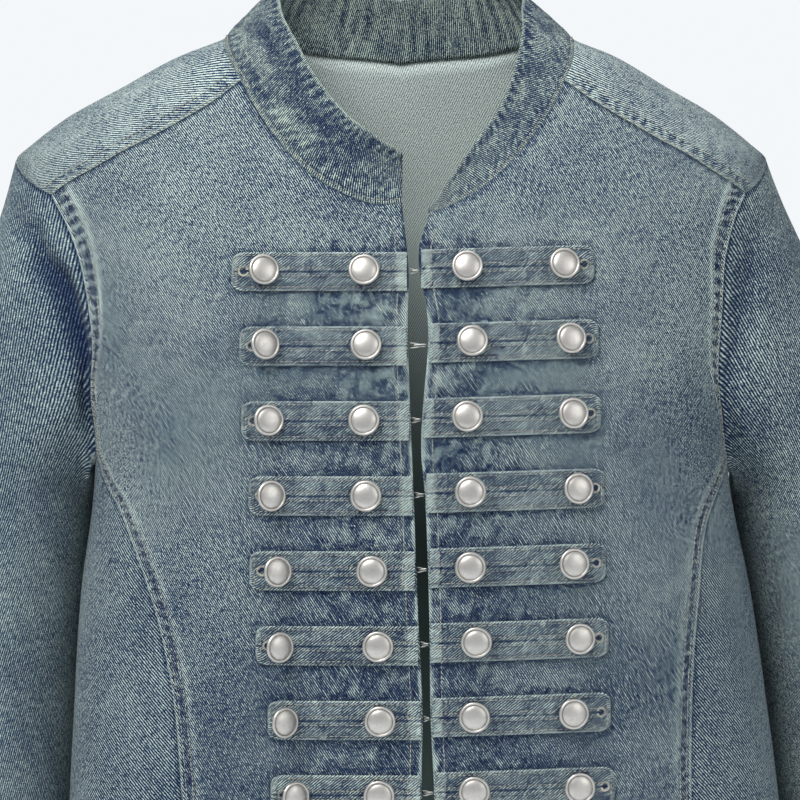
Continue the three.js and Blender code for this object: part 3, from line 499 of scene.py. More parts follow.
class Workshop:
    """Turns points and faces into finished, named meshes."""

    @staticmethod
    def piece(name: str, points: Array, faces: list[Array], finishes: list[bpy.types.Material],
              slots: Array | None = None) -> bpy.types.Object:
        """Makes a mesh object at the origin.

        Args:
            name: The piece's name.
            points: Its points in millimetres.
            faces: Groups of faces, each group with one number of corners.
            finishes: Its materials.
            slots: The material index of each face, in the order of the groups.

        Returns:
            The object, with its faces pointing out.
        """
        mesh = bpy.data.meshes.new(name)
        sizes = np.concatenate([np.full(len(group), group.shape[1]) for group in faces])
        corners = np.concatenate([group.ravel() for group in faces]).astype(np.int32)
        starts = np.concatenate([[0], np.cumsum(sizes)[:-1]]).astype(np.int32)
        mesh.vertices.add(len(points))
        mesh.vertices.foreach_set("co", (points * METRES).astype(np.float32).ravel())
        mesh.loops.add(len(corners))
        mesh.loops.foreach_set("vertex_index", corners)
        mesh.polygons.add(len(sizes))
        mesh.polygons.foreach_set("loop_start", starts)
        mesh.polygons.foreach_set("loop_total", sizes.astype(np.int32))
        for finish in finishes:
            mesh.materials.append(finish)
        if slots is not None:
            mesh.polygons.foreach_set("material_index", slots.astype(np.int32))
        mesh.polygons.foreach_set("use_smooth", np.ones(len(sizes), bool))
        mesh.update(calc_edges=True)
        if Workshop.volume(points, faces) < 0:
            mesh.flip_normals()
        mesh.validate()
        obj = bpy.data.objects.new(name, mesh)
        bpy.context.scene.collection.objects.link(obj)
        return obj

    @staticmethod
    def volume(points: Array, faces: list[Array]) -> float:
        """Gives six times the volume inside the faces, as fans of triangles from each first corner."""
        total = 0.0
        for group in faces:
            for corner in range(1, group.shape[1] - 1):
                a, b, c = points[group[:, 0]], points[group[:, corner]], points[group[:, corner + 1]]
                total += float(np.sum(a * np.cross(b, c)))
        return total

    @staticmethod
    def attribute(obj: bpy.types.Object, name: str, values: Array) -> None:
        """Stores one number for each point."""
        layer = obj.data.attributes.new(name, "FLOAT", "POINT")
        layer.data.foreach_set("value", values.astype(np.float32).ravel())

    @staticmethod
    def uv(obj: bpy.types.Object, places: Array) -> None:
        """Stores the flat place of each point, in metres."""
        corners = np.zeros(len(obj.data.loops), np.int32)
        obj.data.loops.foreach_get("vertex_index", corners)
        layer = obj.data.uv_layers.new(name="cut")
        layer.data.foreach_set("uv", (places[corners] * METRES).astype(np.float32).ravel())


def wall_mesh(name: str, cloth: ClothGrid, finishes: list[bpy.types.Material]) -> bpy.types.Object:
    """Makes a closed wall: a fine outer face, an inner face at half its fineness, and rims.

    Each rim face joins two outer edges to one inner edge, so it has five corners.

    Args:
        name: The piece's name.
        cloth: Its outer face, with even numbers of cells.
        finishes: The face, the reverse and the edge.

    Returns:
        The object with its uv map and its wear_and_shade attribute.
    """
    outer = cloth.inset() if cloth.thickness == CLOTH and not cloth.ring else cloth.points
    rows, columns = outer.shape[:2]
    inner = (outer - cloth.normals * cloth.thickness)[::2, ::2]
    inner_columns = inner.shape[1]
    cell_rows, cell_columns = rows - 1, columns if cloth.ring else columns - 1
    held = np.ones((cell_rows, cell_columns), bool) if cloth.cells is None else cloth.cells
    row, column = np.nonzero(held)
    after = (column + 1) % columns
    quads = np.stack([row * columns + column, row * columns + after,
                      (row + 1) * columns + after, (row + 1) * columns + column], axis=1)
    coarse = held[::2, ::2]
    base = rows * columns
    row, column = np.nonzero(coarse)
    after = (column + 1) % inner_columns
    back = base + np.stack([row * inner_columns + column, (row + 1) * inner_columns + column,
                            (row + 1) * inner_columns + after, row * inner_columns + after], axis=1)
    rims = [rim_faces(coarse, way, columns, inner_columns, base, cloth.ring) for way in range(4)]
    rims = [group for group in rims if len(group)]
    points = np.vstack([outer.reshape(-1, 3), inner.reshape(-1, 3)])
    faces = [quads, back, *rims]
    slots = np.concatenate([np.zeros(len(quads)), np.ones(len(back)),
                            np.full(sum(len(group) for group in rims), 2)])
    obj = Workshop.piece(name, points, faces, finishes, slots)
    flat = cloth.flat
    if flat is None:
        flat = np.stack([cloth.arcs(1), cloth.arcs(0)], axis=-1)
    Workshop.uv(obj, np.vstack([flat.reshape(-1, 2), flat[::2, ::2].reshape(-1, 2)]))
    wear_and_shade = np.zeros((rows, columns)) if cloth.wear_and_shade is None else cloth.wear_and_shade
    Workshop.attribute(obj, "wear_and_shade", np.concatenate([wear_and_shade.ravel(), wear_and_shade[::2, ::2].ravel()]))
    return obj


def rim_faces(coarse: Array, way: int, columns: int, inner_columns: int, base: int, ring: bool) -> Array:
    """Gives the five-cornered faces along the free edges on one side of the coarse cells.

    Args:
        coarse: Which coarse cells are held.
        way: The side: 0 below, 1 after, 2 above, 3 before.
        columns: The outer face's columns.
        inner_columns: The inner face's columns.
        base: The first inner point's index.
        ring: Whether the columns close on themselves.

    Returns:
        The faces, one row each.
    """
    step_row, step_column = ((-1, 0), (0, 1), (1, 0), (0, -1))[way]
    if ring and step_column:
        return np.zeros((0, 5), int)
    framed = np.zeros((coarse.shape[0] + 2, coarse.shape[1] + 2), bool)
    framed[1:-1, 1:-1] = coarse
    beside = framed[1 + step_row:framed.shape[0] - 1 + step_row,
                    1 + step_column:framed.shape[1] - 1 + step_column]
    row, column = np.nonzero(coarse & ~beside)
    corner_rows = ((0, 0), (0, 1), (1, 1), (1, 0))[way]
    corner_columns = ((0, 1), (1, 1), (1, 0), (0, 0))[way]

    def outer(place_row: Array, place_column: Array) -> Array:
        """Gives outer point indices."""
        return place_row * columns + place_column % columns

    first_row, last_row = 2 * (row + corner_rows[0]), 2 * (row + corner_rows[1])
    first_column, last_column = 2 * (column + corner_columns[0]), 2 * (column + corner_columns[1])
    middle = outer((first_row + last_row) // 2, (first_column + last_column) // 2)
    inner_first = base + (first_row // 2) * inner_columns + (first_column // 2) % inner_columns
    inner_last = base + (last_row // 2) * inner_columns + (last_column // 2) % inner_columns
    return np.stack([outer(last_row, last_column), middle, outer(first_row, first_column),
                     inner_first, inner_last], axis=1)


class Graph:
    """A small helper that builds a material's nodes in reading order."""

    def __init__(self, name: str) -> None:
        """Starts a material with an empty node tree and a Principled surface."""
        self.material = bpy.data.materials.new(name)
        self.material.use_nodes = True
        self.tree = self.material.node_tree
        self.tree.nodes.clear()
        output = self.tree.nodes.new("ShaderNodeOutputMaterial")
        self.surface = self.tree.nodes.new("ShaderNodeBsdfPrincipled")
        self.tree.links.new(self.surface.outputs[0], output.inputs[0])

    def put(self, target: bpy.types.NodeSocket, value: object) -> None:
        """Links a socket to a socket, or sets its value."""
        if isinstance(value, bpy.types.NodeSocket):
            self.tree.links.new(value, target)
        else:
            target.default_value = value

    def math(self, operation: str, first: object, second: object = 0.0, third: object = 0.0,
             clamp: bool = False) -> bpy.types.NodeSocket:
        """Adds a Math node."""
        node = self.tree.nodes.new("ShaderNodeMath")
        node.operation = operation
        node.use_clamp = clamp
        for socket, value in zip(node.inputs, (first, second, third)):
            self.put(socket, value)
        return node.outputs[0]

    def mix(self, share: object, first: object, second: object) -> bpy.types.NodeSocket:
        """Adds a colour mix."""
        node = self.tree.nodes.new("ShaderNodeMix")
        node.data_type = "RGBA"
        self.put(node.inputs[0], share)
        self.put(node.inputs[6], first)
        self.put(node.inputs[7], second)
        return node.outputs[2]

    def coordinates(self, cut: bool) -> bpy.types.NodeSocket:
        """Gives the flat place on the cut, or the object's own coordinates, in metres."""
        if cut:
            node = self.tree.nodes.new("ShaderNodeUVMap")
            node.uv_map = "cut"
            return node.outputs[0]
        return self.tree.nodes.new("ShaderNodeTexCoord").outputs["Object"]

    def mapped(self, vector: bpy.types.NodeSocket, scale: tuple[float, float, float],
               turn: float = 0.0) -> bpy.types.NodeSocket:
        """Turns and scales a vector."""
        node = self.tree.nodes.new("ShaderNodeMapping")
        node.inputs["Rotation"].default_value = (0, 0, math.radians(turn))
        node.inputs["Scale"].default_value = scale
        self.put(node.inputs[0], vector)
        return node.outputs[0]

    def noise(self, vector: bpy.types.NodeSocket, scale: float, detail: float = 2.0) -> bpy.types.NodeSocket:
        """Adds a noise texture's value, from 0 to 1."""
        node = self.tree.nodes.new("ShaderNodeTexNoise")
        node.inputs["Scale"].default_value = scale
        node.inputs["Detail"].default_value = detail
        self.put(node.inputs["Vector"], vector)
        return node.outputs[0]

    def split(self, vector: bpy.types.NodeSocket) -> list[bpy.types.NodeSocket]:
        """Gives a vector's three numbers."""
        node = self.tree.nodes.new("ShaderNodeSeparateXYZ")
        self.put(node.inputs[0], vector)
        return list(node.outputs)

    def value_of(self, name: str) -> bpy.types.NodeSocket:
        """Reads a piece's number attribute."""
        node = self.tree.nodes.new("ShaderNodeAttribute")
        node.attribute_name = name
        return node.outputs["Fac"]

    def bump(self, height: bpy.types.NodeSocket, depth: float, strength: float = 1.0) -> None:
        """Adds a bump of a depth in metres to the surface."""
        node = self.tree.nodes.new("ShaderNodeBump")
        node.inputs["Strength"].default_value = strength
        node.inputs["Distance"].default_value = depth
        self.put(node.inputs["Height"], height)
        self.tree.links.new(node.outputs[0], self.surface.inputs["Normal"])

    def setting(self, name: str, value: object) -> None:
        """Sets one of the surface's sockets."""
        self.put(self.surface.inputs[name], value)


def srgb(red: int, green: int, blue: int) -> tuple[float, float, float, float]:
    """Turns a screen colour into a linear one."""
    linear = [((c / 255 + 0.055) / 1.055) ** 2.4 if c > 10 else c / 3294.6 for c in (red, green, blue)]
    return (linear[0], linear[1], linear[2], 1.0)


@dataclass(frozen=True)
class DenimFinish:
    """Washed denim: a broken diagonal twill whose hollows stay dark and whose ridges wear pale."""

    name: str
    deep: tuple[int, int, int] = (8, 22, 58)
    plain: tuple[int, int, int] = (76, 99, 116)
    worn: tuple[int, int, int] = (202, 216, 204)
    twill_turn: float = -32.0
    twill_period: float = 0.00112
    wear: float = -0.24
    contrast: float = 1.9

    def material(self) -> bpy.types.Material:
        """Builds the finish: colour by wear and painted shade, wash and thread, with a bump of the threads.
        """
        graph = Graph(self.name)
        place = graph.coordinates(cut=True)
        turned = graph.mapped(place, (1, 1, 1), self.twill_turn)
        across, _, _ = graph.split(turned)
        rate = 2 * math.pi / self.twill_period
        wander = graph.noise(place, 240.0, 2.0)
        phase = graph.math("MULTIPLY_ADD", wander, 3.0, graph.math("MULTIPLY", across, rate))
        twill = graph.math("SINE", phase)
        broken = graph.noise(graph.mapped(turned, (900, 330, 1)), 1.0, 1.0)
        speck = graph.noise(place, 1150.0, 2.0)
        wash = graph.noise(place, 21.0, 4.0)
        blotch = graph.noise(place, 95.0, 3.0)
        wear_and_shade = graph.value_of("wear_and_shade")
        tone = graph.math("MULTIPLY_ADD", twill, 0.5 * self.contrast, 0.5 + self.wear)
        tone = graph.math("MULTIPLY_ADD", graph.math("SUBTRACT", broken, 0.5), 1.1 * self.contrast, tone)
        tone = graph.math("MULTIPLY_ADD", graph.math("SUBTRACT", speck, 0.5), 1.7 * self.contrast, tone)
        tone = graph.math("MULTIPLY_ADD", graph.math("SUBTRACT", wash, 0.5), 0.7, tone)
        tone = graph.math("MULTIPLY_ADD", graph.math("SUBTRACT", blotch, 0.5), 0.3, tone)
        # wear_and_shade darkens and pales the colour: real indigo hollows and worn ridges, plus the painted
        # shade and painted shadows laid in by each piece.
        tone = graph.math("MULTIPLY_ADD", wear_and_shade, 0.42, tone)
        over = graph.math("SUBTRACT", tone, 0.5)
        pale = graph.math("MULTIPLY", over, 1.15, clamp=True)
        dark = graph.math("MULTIPLY", over, -1.35, clamp=True)
        colour = graph.mix(dark, srgb(*self.plain), srgb(*self.deep))
        colour = graph.mix(pale, colour, srgb(*self.worn))
        graph.setting("Base Color", colour)
        graph.setting("Roughness", 0.9)
        graph.setting("Sheen Weight", 0.05)
        graph.setting("Sheen Roughness", 0.5)
        graph.setting("Specular IOR Level", 0.15)
        height = graph.math("MULTIPLY_ADD", twill, 0.5, graph.math("ADD", speck, broken))
        graph.bump(height, 0.00025, 1.0)
        return graph.material


@dataclass(frozen=True)
class ReverseFinish:
    """The pale weft side of the twill, seen inside the neck and the front gap."""

    name: str
    light: tuple[int, int, int] = (232, 242, 234)
    shade: tuple[int, int, int] = (112, 128, 130)
    # inner: the colour of painted shade deep inside the body.
    inner: tuple[int, int, int] = (64, 79, 73)

    def material(self) -> bpy.types.Material:
        """Builds the finish: fine slanting lines of pale weft, darkened below the chest by painted shade
        toward the inner colour, for the shadow deep inside the body.
        """
        graph = Graph(self.name)
        place = graph.coordinates(cut=True)
        across, _, _ = graph.split(graph.mapped(place, (1, 1, 1), 32.0))
        wander = graph.noise(place, 200.0, 2.0)
        phase = graph.math("MULTIPLY_ADD", wander, 3.0, graph.math("MULTIPLY", across, 2 * math.pi / 0.00115))
        speck = graph.noise(place, 1300.0, 1.0)
        tone = graph.math("MULTIPLY_ADD", graph.math("SINE", phase), 0.45, 0.55)
        tone = graph.math("MULTIPLY_ADD", graph.math("SUBTRACT", speck, 0.5), 1.6, tone, clamp=True)
        height = graph.split(graph.coordinates(cut=False))[2]
        # Painted shade: below z = -0.1 m the reverse darkens and blends to the inner colour, standing in for
        # the shadow inside the body.
        deep = graph.math("MULTIPLY", graph.math("SUBTRACT", -0.1, height), 5.5, clamp=True)
        tone = graph.math("MULTIPLY", tone, graph.math("MULTIPLY_ADD", deep, -0.75, 1.0))
        colour = graph.mix(tone, srgb(*self.shade), srgb(*self.light))
        graph.setting("Base Color", graph.mix(graph.math("MULTIPLY", deep, 0.8), colour, srgb(*self.inner)))
        graph.setting("Roughness", 0.9)
        graph.setting("Specular IOR Level", 0.2)
        graph.bump(tone, 0.0002, 0.6)
        return graph.material


@dataclass(frozen=True)
class EdgeFinish:
    """The frayed pale line along a folded denim edge."""

    name: str
    light: tuple[int, int, int] = (186, 194, 176)
    dark: tuple[int, int, int] = (92, 112, 128)

    def material(self) -> bpy.types.Material:
        """Builds the finish: a coarse mottle of pale and blue."""
        graph = Graph(self.name)
        speck = graph.noise(graph.coordinates(cut=False), 700.0, 3.0)
        share = graph.math("MULTIPLY", graph.math("SUBTRACT", speck, 0.36), 3.2, clamp=True)
        graph.setting("Base Color", graph.mix(share, srgb(*self.dark), srgb(*self.light)))
        graph.setting("Roughness", 0.92)
        graph.setting("Specular IOR Level", 0.2)
        graph.bump(speck, 0.0003, 0.7)
        return graph.material


@dataclass(frozen=True)
class ThreadFinish:
    """Dull cotton thread with a twist, paler or darker from stitch to stitch."""

    name: str
    light: tuple[int, int, int] = (192, 186, 168)
    dark: tuple[int, int, int] = (98, 104, 108)

    def material(self) -> bpy.types.Material:
        """Builds the finish: a slow mottle with a fine twist in the bump."""
        graph = Graph(self.name)
        place = graph.coordinates(cut=False)
        slow = graph.noise(place, 170.0, 2.0)
        share = graph.math("MULTIPLY", graph.math("SUBTRACT", slow, 0.3), 2.4, clamp=True)
        graph.setting("Base Color", graph.mix(share, srgb(*self.dark), srgb(*self.light)))
        graph.setting("Roughness", 0.7)
        graph.setting("Specular IOR Level", 0.3)
        graph.bump(graph.noise(place, 2600.0, 1.0), 0.0001, 0.6)
        return graph.material


@dataclass(frozen=True)
class MetalFinish:
    """Satin silver plate, rubbed, with a little grime and painted shade where it is low."""

    name: str
    light: tuple[int, int, int] = (202, 197, 190)
    dark: tuple[int, int, int] = (78, 74, 70)
    roughness: float = 0.38

    def material(self) -> bpy.types.Material:
        """Builds the finish: metal whose colour and gloss are mottled by fine and slow noise, and darkened by
        grime and painted shade.
        """
        graph = Graph(self.name)
        place = graph.coordinates(cut=False)
        # The grime_and_shade attribute darkens the groove, the rim's underside and the shank: grime, plus
        # painted shade in those recesses.
        grime_and_shade = graph.math("MULTIPLY", graph.value_of("grime_and_shade"), 0.85, clamp=True)
        cloud = graph.noise(place, 420.0, 4.0)
        share = graph.math("MULTIPLY_ADD", graph.math("SUBTRACT", cloud, 0.5), 0.5, grime_and_shade, clamp=True)
        graph.setting("Base Color", graph.mix(share, srgb(*self.light), srgb(*self.dark)))
        graph.setting("Metallic", 1.0)
        rough = graph.math("MULTIPLY_ADD", cloud, 0.22, self.roughness - 0.08)
        graph.setting("Roughness", graph.math("MULTIPLY_ADD", grime_and_shade, 0.2, rough))
        graph.bump(graph.noise(place, 1800.0, 3.0), 0.00006, 0.5)
        return graph.material


@dataclass(frozen=True)
class FloorFinish:
    """A plain pale floor."""

    name: str = "floor_finish"

    def material(self) -> bpy.types.Material:
        """Builds the finish."""
        graph = Graph(self.name)
        graph.setting("Base Color", srgb(238, 241, 244))
        graph.setting("Roughness", 0.8)
        return graph.material


@dataclass
class Wardrobe:
    """All the jacket's finishes, made once."""

    front: bpy.types.Material = field(default_factory=DenimFinish("denim_front").material)
    side: bpy.types.Material = field(default_factory=DenimFinish(
        "denim_side", twill_turn=-44.0, plain=(66, 88, 104), worn=(186, 202, 194), twill_period=0.0015,
        wear=-0.3).material)
    back: bpy.types.Material = field(default_factory=DenimFinish(
        "denim_back", twill_turn=80.0, twill_period=0.0015, wear=-0.1).material)
    collar: bpy.types.Material = field(default_factory=DenimFinish(
        "denim_collar", twill_turn=8.0, plain=(70, 90, 102), worn=(204, 218, 198), contrast=1.5,
        wear=-0.16).material)
    sleeve_right: bpy.types.Material = field(default_factory=DenimFinish(
        "denim_sleeve_right", twill_turn=15.0, plain=(78, 100, 113), twill_period=0.00112,
        wear=-0.14, contrast=1.2).material)
    sleeve_left: bpy.types.Material = field(default_factory=DenimFinish(
        "denim_sleeve_left", twill_turn=-24.0, plain=(74, 95, 107), twill_period=0.00093, wear=-0.16,
        contrast=1.4).material)
    tab: bpy.types.Material = field(default_factory=DenimFinish(
        "denim_tab", twill_turn=52.0, plain=(76, 94, 106), twill_period=0.00115,
        contrast=1.4, wear=-0.1).material)
    reverse: bpy.types.Material = field(default_factory=ReverseFinish("denim_reverse").material)
    edge: bpy.types.Material = field(default_factory=EdgeFinish("denim_edge").material)
    thread: bpy.types.Material = field(default_factory=ThreadFinish("thread_tan").material)
    pale_thread: bpy.types.Material = field(default_factory=ThreadFinish(
        "thread_cream", light=(214, 208, 190), dark=(120, 122, 120)).material)
    metal: bpy.types.Material = field(default_factory=MetalFinish("button_silver").material)
    wire: bpy.types.Material = field(default_factory=MetalFinish(
        "hook_wire", light=(214, 214, 208), dark=(120, 120, 118)).material)


@dataclass
class Stitcher:
    """Collects stitches along paths and joins them in one mesh for each piece."""

    length: float = 1.9
    gap: float = 0.75
    width: float = 0.6
    height: float = 0.36
    sides: int = 6
    points: list[Array] = field(default_factory=list)

    def row(self, path: Array, normals: Array, lift: float = 0.12) -> None:
        """Adds a row of stitches, each a short rounded bar that dips at its ends.

        Args:
            path: Points along the row on the cloth.
            normals: The cloth's normals there.
            lift: How far the bars' middles stand over the cloth.
        """
        steps = np.linalg.norm(np.diff(path, axis=0), axis=1)
        run = np.concatenate([[0], np.cumsum(steps)])
        count = int(run[-1] // (self.length + self.gap))
        if count < 1:
            return
        pitch = run[-1] / count
        middles = (np.arange(count) + 0.5) * pitch
        shares = np.array([-0.5, -0.34, 0.0, 0.34, 0.5])
        widths = np.array([0.15, 0.85, 1.0, 0.85, 0.15])
        drops = np.array([-0.5, 0.3, 1.0, 0.3, -0.5])
        jitter = lattice_noise(np.arange(count) * 0.9, np.full(count, run[-1]), 5) * 0.12
        at = middles[:, None] + shares[None] * (self.length * (1 + jitter[:, None]))

        def sample(values: Array, where: Array) -> Array:
            """Reads a path's values at some lengths along it."""
            return np.stack([np.interp(where, run, values[:, k]) for k in range(3)], axis=-1)

        centre = sample(path, at)
        normal = unit(sample(normals, at))
        ahead = sample(path, np.minimum(at + 0.5, run[-1])) - sample(path, np.maximum(at - 0.5, 0))
        side = unit(np.cross(ahead, normal))
        centre = centre + normal * (lift + (drops * 0.28)[None, :, None])
        angle = np.arange(self.sides) * 2 * math.pi / self.sides
        ring = (side[:, :, None] * (np.cos(angle) * self.width / 2)[None, None, :, None]
                + normal[:, :, None] * (np.sin(angle) * self.height)[None, None, :, None])
        self.points.append(centre[:, :, None] + ring * widths[None, :, None, None])

    def make(self, name: str, finish: bpy.types.Material) -> bpy.types.Object:
        """Joins the collected stitches in one mesh."""
        bars = np.concatenate(self.points)
        count, rings, sides = bars.shape[:3]
        ring, side = np.meshgrid(np.arange(rings - 1), np.arange(sides), indexing="ij")
        after = (side + 1) % sides
        quads = np.stack([ring * sides + side, ring * sides + after,
                          (ring + 1) * sides + after, (ring + 1) * sides + side], axis=-1).reshape(-1, 4)
        caps = np.stack([np.arange(sides)[::-1], (rings - 1) * sides + np.arange(sides)])
        offset = (np.arange(count) * rings * sides)[:, None, None]
        faces = [(quads[None] + offset).reshape(-1, 4), (caps[None] + offset).reshape(-1, sides)]
        obj = Workshop.piece(name, bars.reshape(-1, 3), faces, [finish])
        log.info("%s: %d stitches", name, count)
        return obj


class Anchor(Enum):
    """Which edge of a grid a row of stitches or puckers keeps its distance from."""

    START = "start"
    END = "end"
    BOTTOM = "bottom"
    TOP = "top"


def edge_distance(cloth: ClothGrid, anchor: Anchor) -> tuple[Array, Array]:
    """Gives every point's distance from an edge, and its place along that edge."""
    across, up = cloth.arcs(1), cloth.arcs(0)
    if anchor is Anchor.START:
        return across, np.broadcast_to(up[:, :1], across.shape)
    if anchor is Anchor.END:
        return across[:, -1:] - across, np.broadcast_to(up[:, -1:], across.shape)
    if anchor is Anchor.BOTTOM:
        return up, np.broadcast_to(across[:1], up.shape)
    return up[-1:] - up, np.broadcast_to(across[-1:], up.shape)


def stitch_along(stitcher: Stitcher, cloth: ClothGrid, anchor: Anchor, distance: float,
                 low: float = 0.0, high: float = 1.0, lift: float = 0.12) -> None:
    """Adds a row of stitches at a distance from an edge, between two shares of its length."""
    gone, _ = edge_distance(cloth, anchor)
    if anchor in (Anchor.START, Anchor.END):
        count = cloth.points.shape[0]
        lines = np.arange(int(low * (count - 1)), int(high * (count - 1)) + 1)
        places = np.array([place_at(gone[line], distance) for line in lines])
        rows, columns = lines.astype(float), places
    else:
        count = cloth.points.shape[1]
        lines = np.arange(int(low * (count - 1)), int(high * (count - 1)) + 1)
        places = np.array([place_at(gone[:, line], distance) for line in lines])
        rows, columns = places, lines.astype(float)
    stitcher.row(cloth.at(rows, columns), cloth.normal_at(rows, columns), lift)


def place_at(values: Array, wanted: float) -> float:
    """Finds the fractional index where rising or falling values reach a wanted one."""
    index = np.arange(len(values), dtype=float)
    if values[0] < values[-1]:
        return float(np.interp(wanted, values, index))
    return float(np.interp(wanted, values[::-1], index[::-1]))


@dataclass(frozen=True)
class SeamBand:
    """The worn strip along a sewn seam: a pale rim, roped puckers, and a pale ridge past the stitches. A rim
    below zero is instead a dark line of painted shadow beside a raised seam.
    """

    anchor: Anchor
    reach: float = 7.0
    pitch: float = 4.4
    slant: float = 0.7
    seed: int = 1
    rim: float = 0.8
    depth: float = -0.35
    ropes: float = 0.8
    halo: float = 0.6
    height: float = 0.3
    low: float = 0.0
    high: float = 1.0
    edge: float = 0.0

    def on(self, cloth: ClothGrid) -> tuple[Array, Array]:
        """Gives the strip's height and shade.

        Between the rim and the reach, the shade is a slanted wave along the seam, broken by two sizes
        of noise; the rim and the ridge are bells at their distances from the seam.
        """
        gone, along = edge_distance(cloth, self.anchor)
        share = along / float(along.max())
        within = smooth_step(share, self.low - 0.01, self.low + 0.01)
        within = within * (1 - smooth_step(share, self.high - 0.01, self.high + 0.01))
        turn = (along + self.slant * gone) * 2 * math.pi / self.pitch
        wave = np.sin(turn + 2.6 * lattice_noise(along / 11.0, gone / 9.0, self.seed))
        wave = 0.75 * wave + 0.45 * lattice_noise(along / 3.6, gone / 4.2, self.seed + 3)
        window = smooth_step(gone, 0.9, 2.2) * (1 - smooth_step(gone, self.reach - 1.5, self.reach + 1.2))
        uneven = np.clip(1.0 + 0.5 * lattice_noise(along / 15.0, gone / 30.0, self.seed + 7), 0.5, 1.5)
        shade = window * (self.ropes * wave * uneven + self.depth)
        shade = shade + self.rim * np.exp(-(((gone - 0.3) / 1.3) ** 2))
        past = gone - self.reach - 2.0
        shade = shade + self.halo * uneven * np.exp(-((past / 1.7) ** 2))
        lift = self.height * (window * wave * uneven + 0.8 * np.exp(-((past / 1.9) ** 2)))
        lift = lift + self.edge * np.exp(-((gone / 1.7) ** 4))
        return lift * within, shade * within


def ridge_line(cloth: ClothGrid, anchor: Anchor, distance: float, width: float) -> Array:
    """Gives a bell-shaped line at a distance from an edge, one at its middle."""
    gone, _ = edge_distance(cloth, anchor)
    return np.exp(-(((gone - distance) / width) ** 2))


def wash_noise(cloth: ClothGrid, seed: int, size: float) -> Array:
    """Gives slow uneven fading over a piece's flat place."""
    return layered_noise(cloth.arcs(1) / size, cloth.arcs(0) / size, seed)


@dataclass
class TabRow:
    """One tab: where it ends, its two buttons and how far the outer one tips."""

    half: Half
    row: int
    end: float
    outer: float
    inner: float
    tip: float

    @property
    def name(self) -> str:
        """Gives the tab's node name."""
        return f"tab_{self.half.value}_{self.row + 1}"

    def height_at(self, x: Array) -> Array:
        """Gives the height of the tab's middle line at an X."""
        first, slope = (-132.3, 0.0) if self.half is Half.RIGHT else (-129.5, 0.03)
        return first - self.row * TAB_PITCH + slope * (np.abs(x) - 60)


TAB_TABLE: dict[Half, dict[str, list[float]]] = {
    Half.RIGHT: {
        "end": [-90.4, -85.9, -84.7, -80.8, -80.3, -77.1, -70.7, -69.2],
        "outer": [-72.6, -71.3, -69.1, -67.4, -64.2, -63.1, -60.5, -55.2],
        "inner": [-19.3, -18.2, -19.2, -18.2, -15, -11.8, -10.7, -11.2],
        "tip": [20, 34, 28, 36, 38, 40, 42, 38],
    },
    Half.LEFT: {
        "end": [104.5, 106.4, 107.3, 109.4, 109.9, 111.5, 112.7, 114.9],
        "outer": [87.7, 90.7, 91.6, 94.2, 92, 95.3, 92.1, 95.5],
        "inner": [36, 38.6, 35.8, 37.4, 37.4, 40.6, 39.6, 39.6],
        "tip": [6, 6, 6, 6, 6, 6, 8, 6],
    },
}


def tab_rows(half: Half) -> list[TabRow]:
    """Gives one half's tabs from the top."""
    table = TAB_TABLE[half]
    return [
        TabRow(half, row, *(table[key][row] for key in ("end", "outer", "inner", "tip")))
        for row in range(TAB_ROWS)
    ]


def front_edge(half: Half, z: Array) -> Array:
    """Gives the X of a front's open edge at a height."""
    rows = np.array(SEAM_ROWS[half]["edge"], float)
    return read_table({"x": list(rows[:, 0]), "z": list(rows[:, 1])}, "z", "x", np.asarray(z, float))


def tab_puckers(points: Array, half: Half) -> tuple[Array, Array]:
    """Gives the crumple that the sewn tabs draw into a front, as a height and a shade.

    The cloth is darkened close above and below each tab, a painted shadow of the raised tab. Between tabs it
    carries blotches of two sizes, which are strong near the front edge and fade toward the tabs' outer ends.
    """
    x, z = points[..., 0], points[..., 2]
    height = np.zeros_like(x)
    shade = np.zeros_like(x)
    out = x * half.sign
    side = 17 * half.sign
    large = lattice_noise((x + 0.25 * z) / 5.4, z / 4.0, 31 + side)
    small = lattice_noise((x - 0.2 * z) / 3.2, z / 2.8, 91 + side)
    streak = np.sin((x - 0.3 * z) * 2 * math.pi / 8.5 + 3.0 * lattice_noise(x / 14.0, z / 14.0, 47 + side))
    mottle = 0.8 * large + 0.5 * small + 0.35 * streak
    for tab in tab_rows(half):
        over = z - tab.height_at(x)
        gap = np.abs(over) - TAB_HEIGHT / 2
        end = tab.end * half.sign
        along = 1 - smooth_step(out, end - 5, end + 5)
        inner = 1 - smooth_step(out, 20, end)
        near = np.exp(-(np.maximum(gap, 0) / (5.5 + 4.5 * inner)) ** 2)
        strength = near * along * (0.25 + 0.75 * inner)
        shade += (mottle * 1.25 - 0.65) * strength
        height += mottle * strength * 0.6
        # Painted shadow: a dark band along each tab's top and bottom edges, wider above.
        reach = np.where(over > 0, 2.6, 2.0) + 1.1 * lattice_noise(x / 6.0, z * 0 + tab.row, 7 + side)
        shade -= (0.75 + 0.25 * inner) * along * np.exp(-((np.maximum(gap, 0) / reach) ** 2))
        middle = np.exp(-((gap - 9.5) / 3.5) ** 2)
        shade += 0.12 * middle * along * inner * (0.5 + large)
    return height, shade


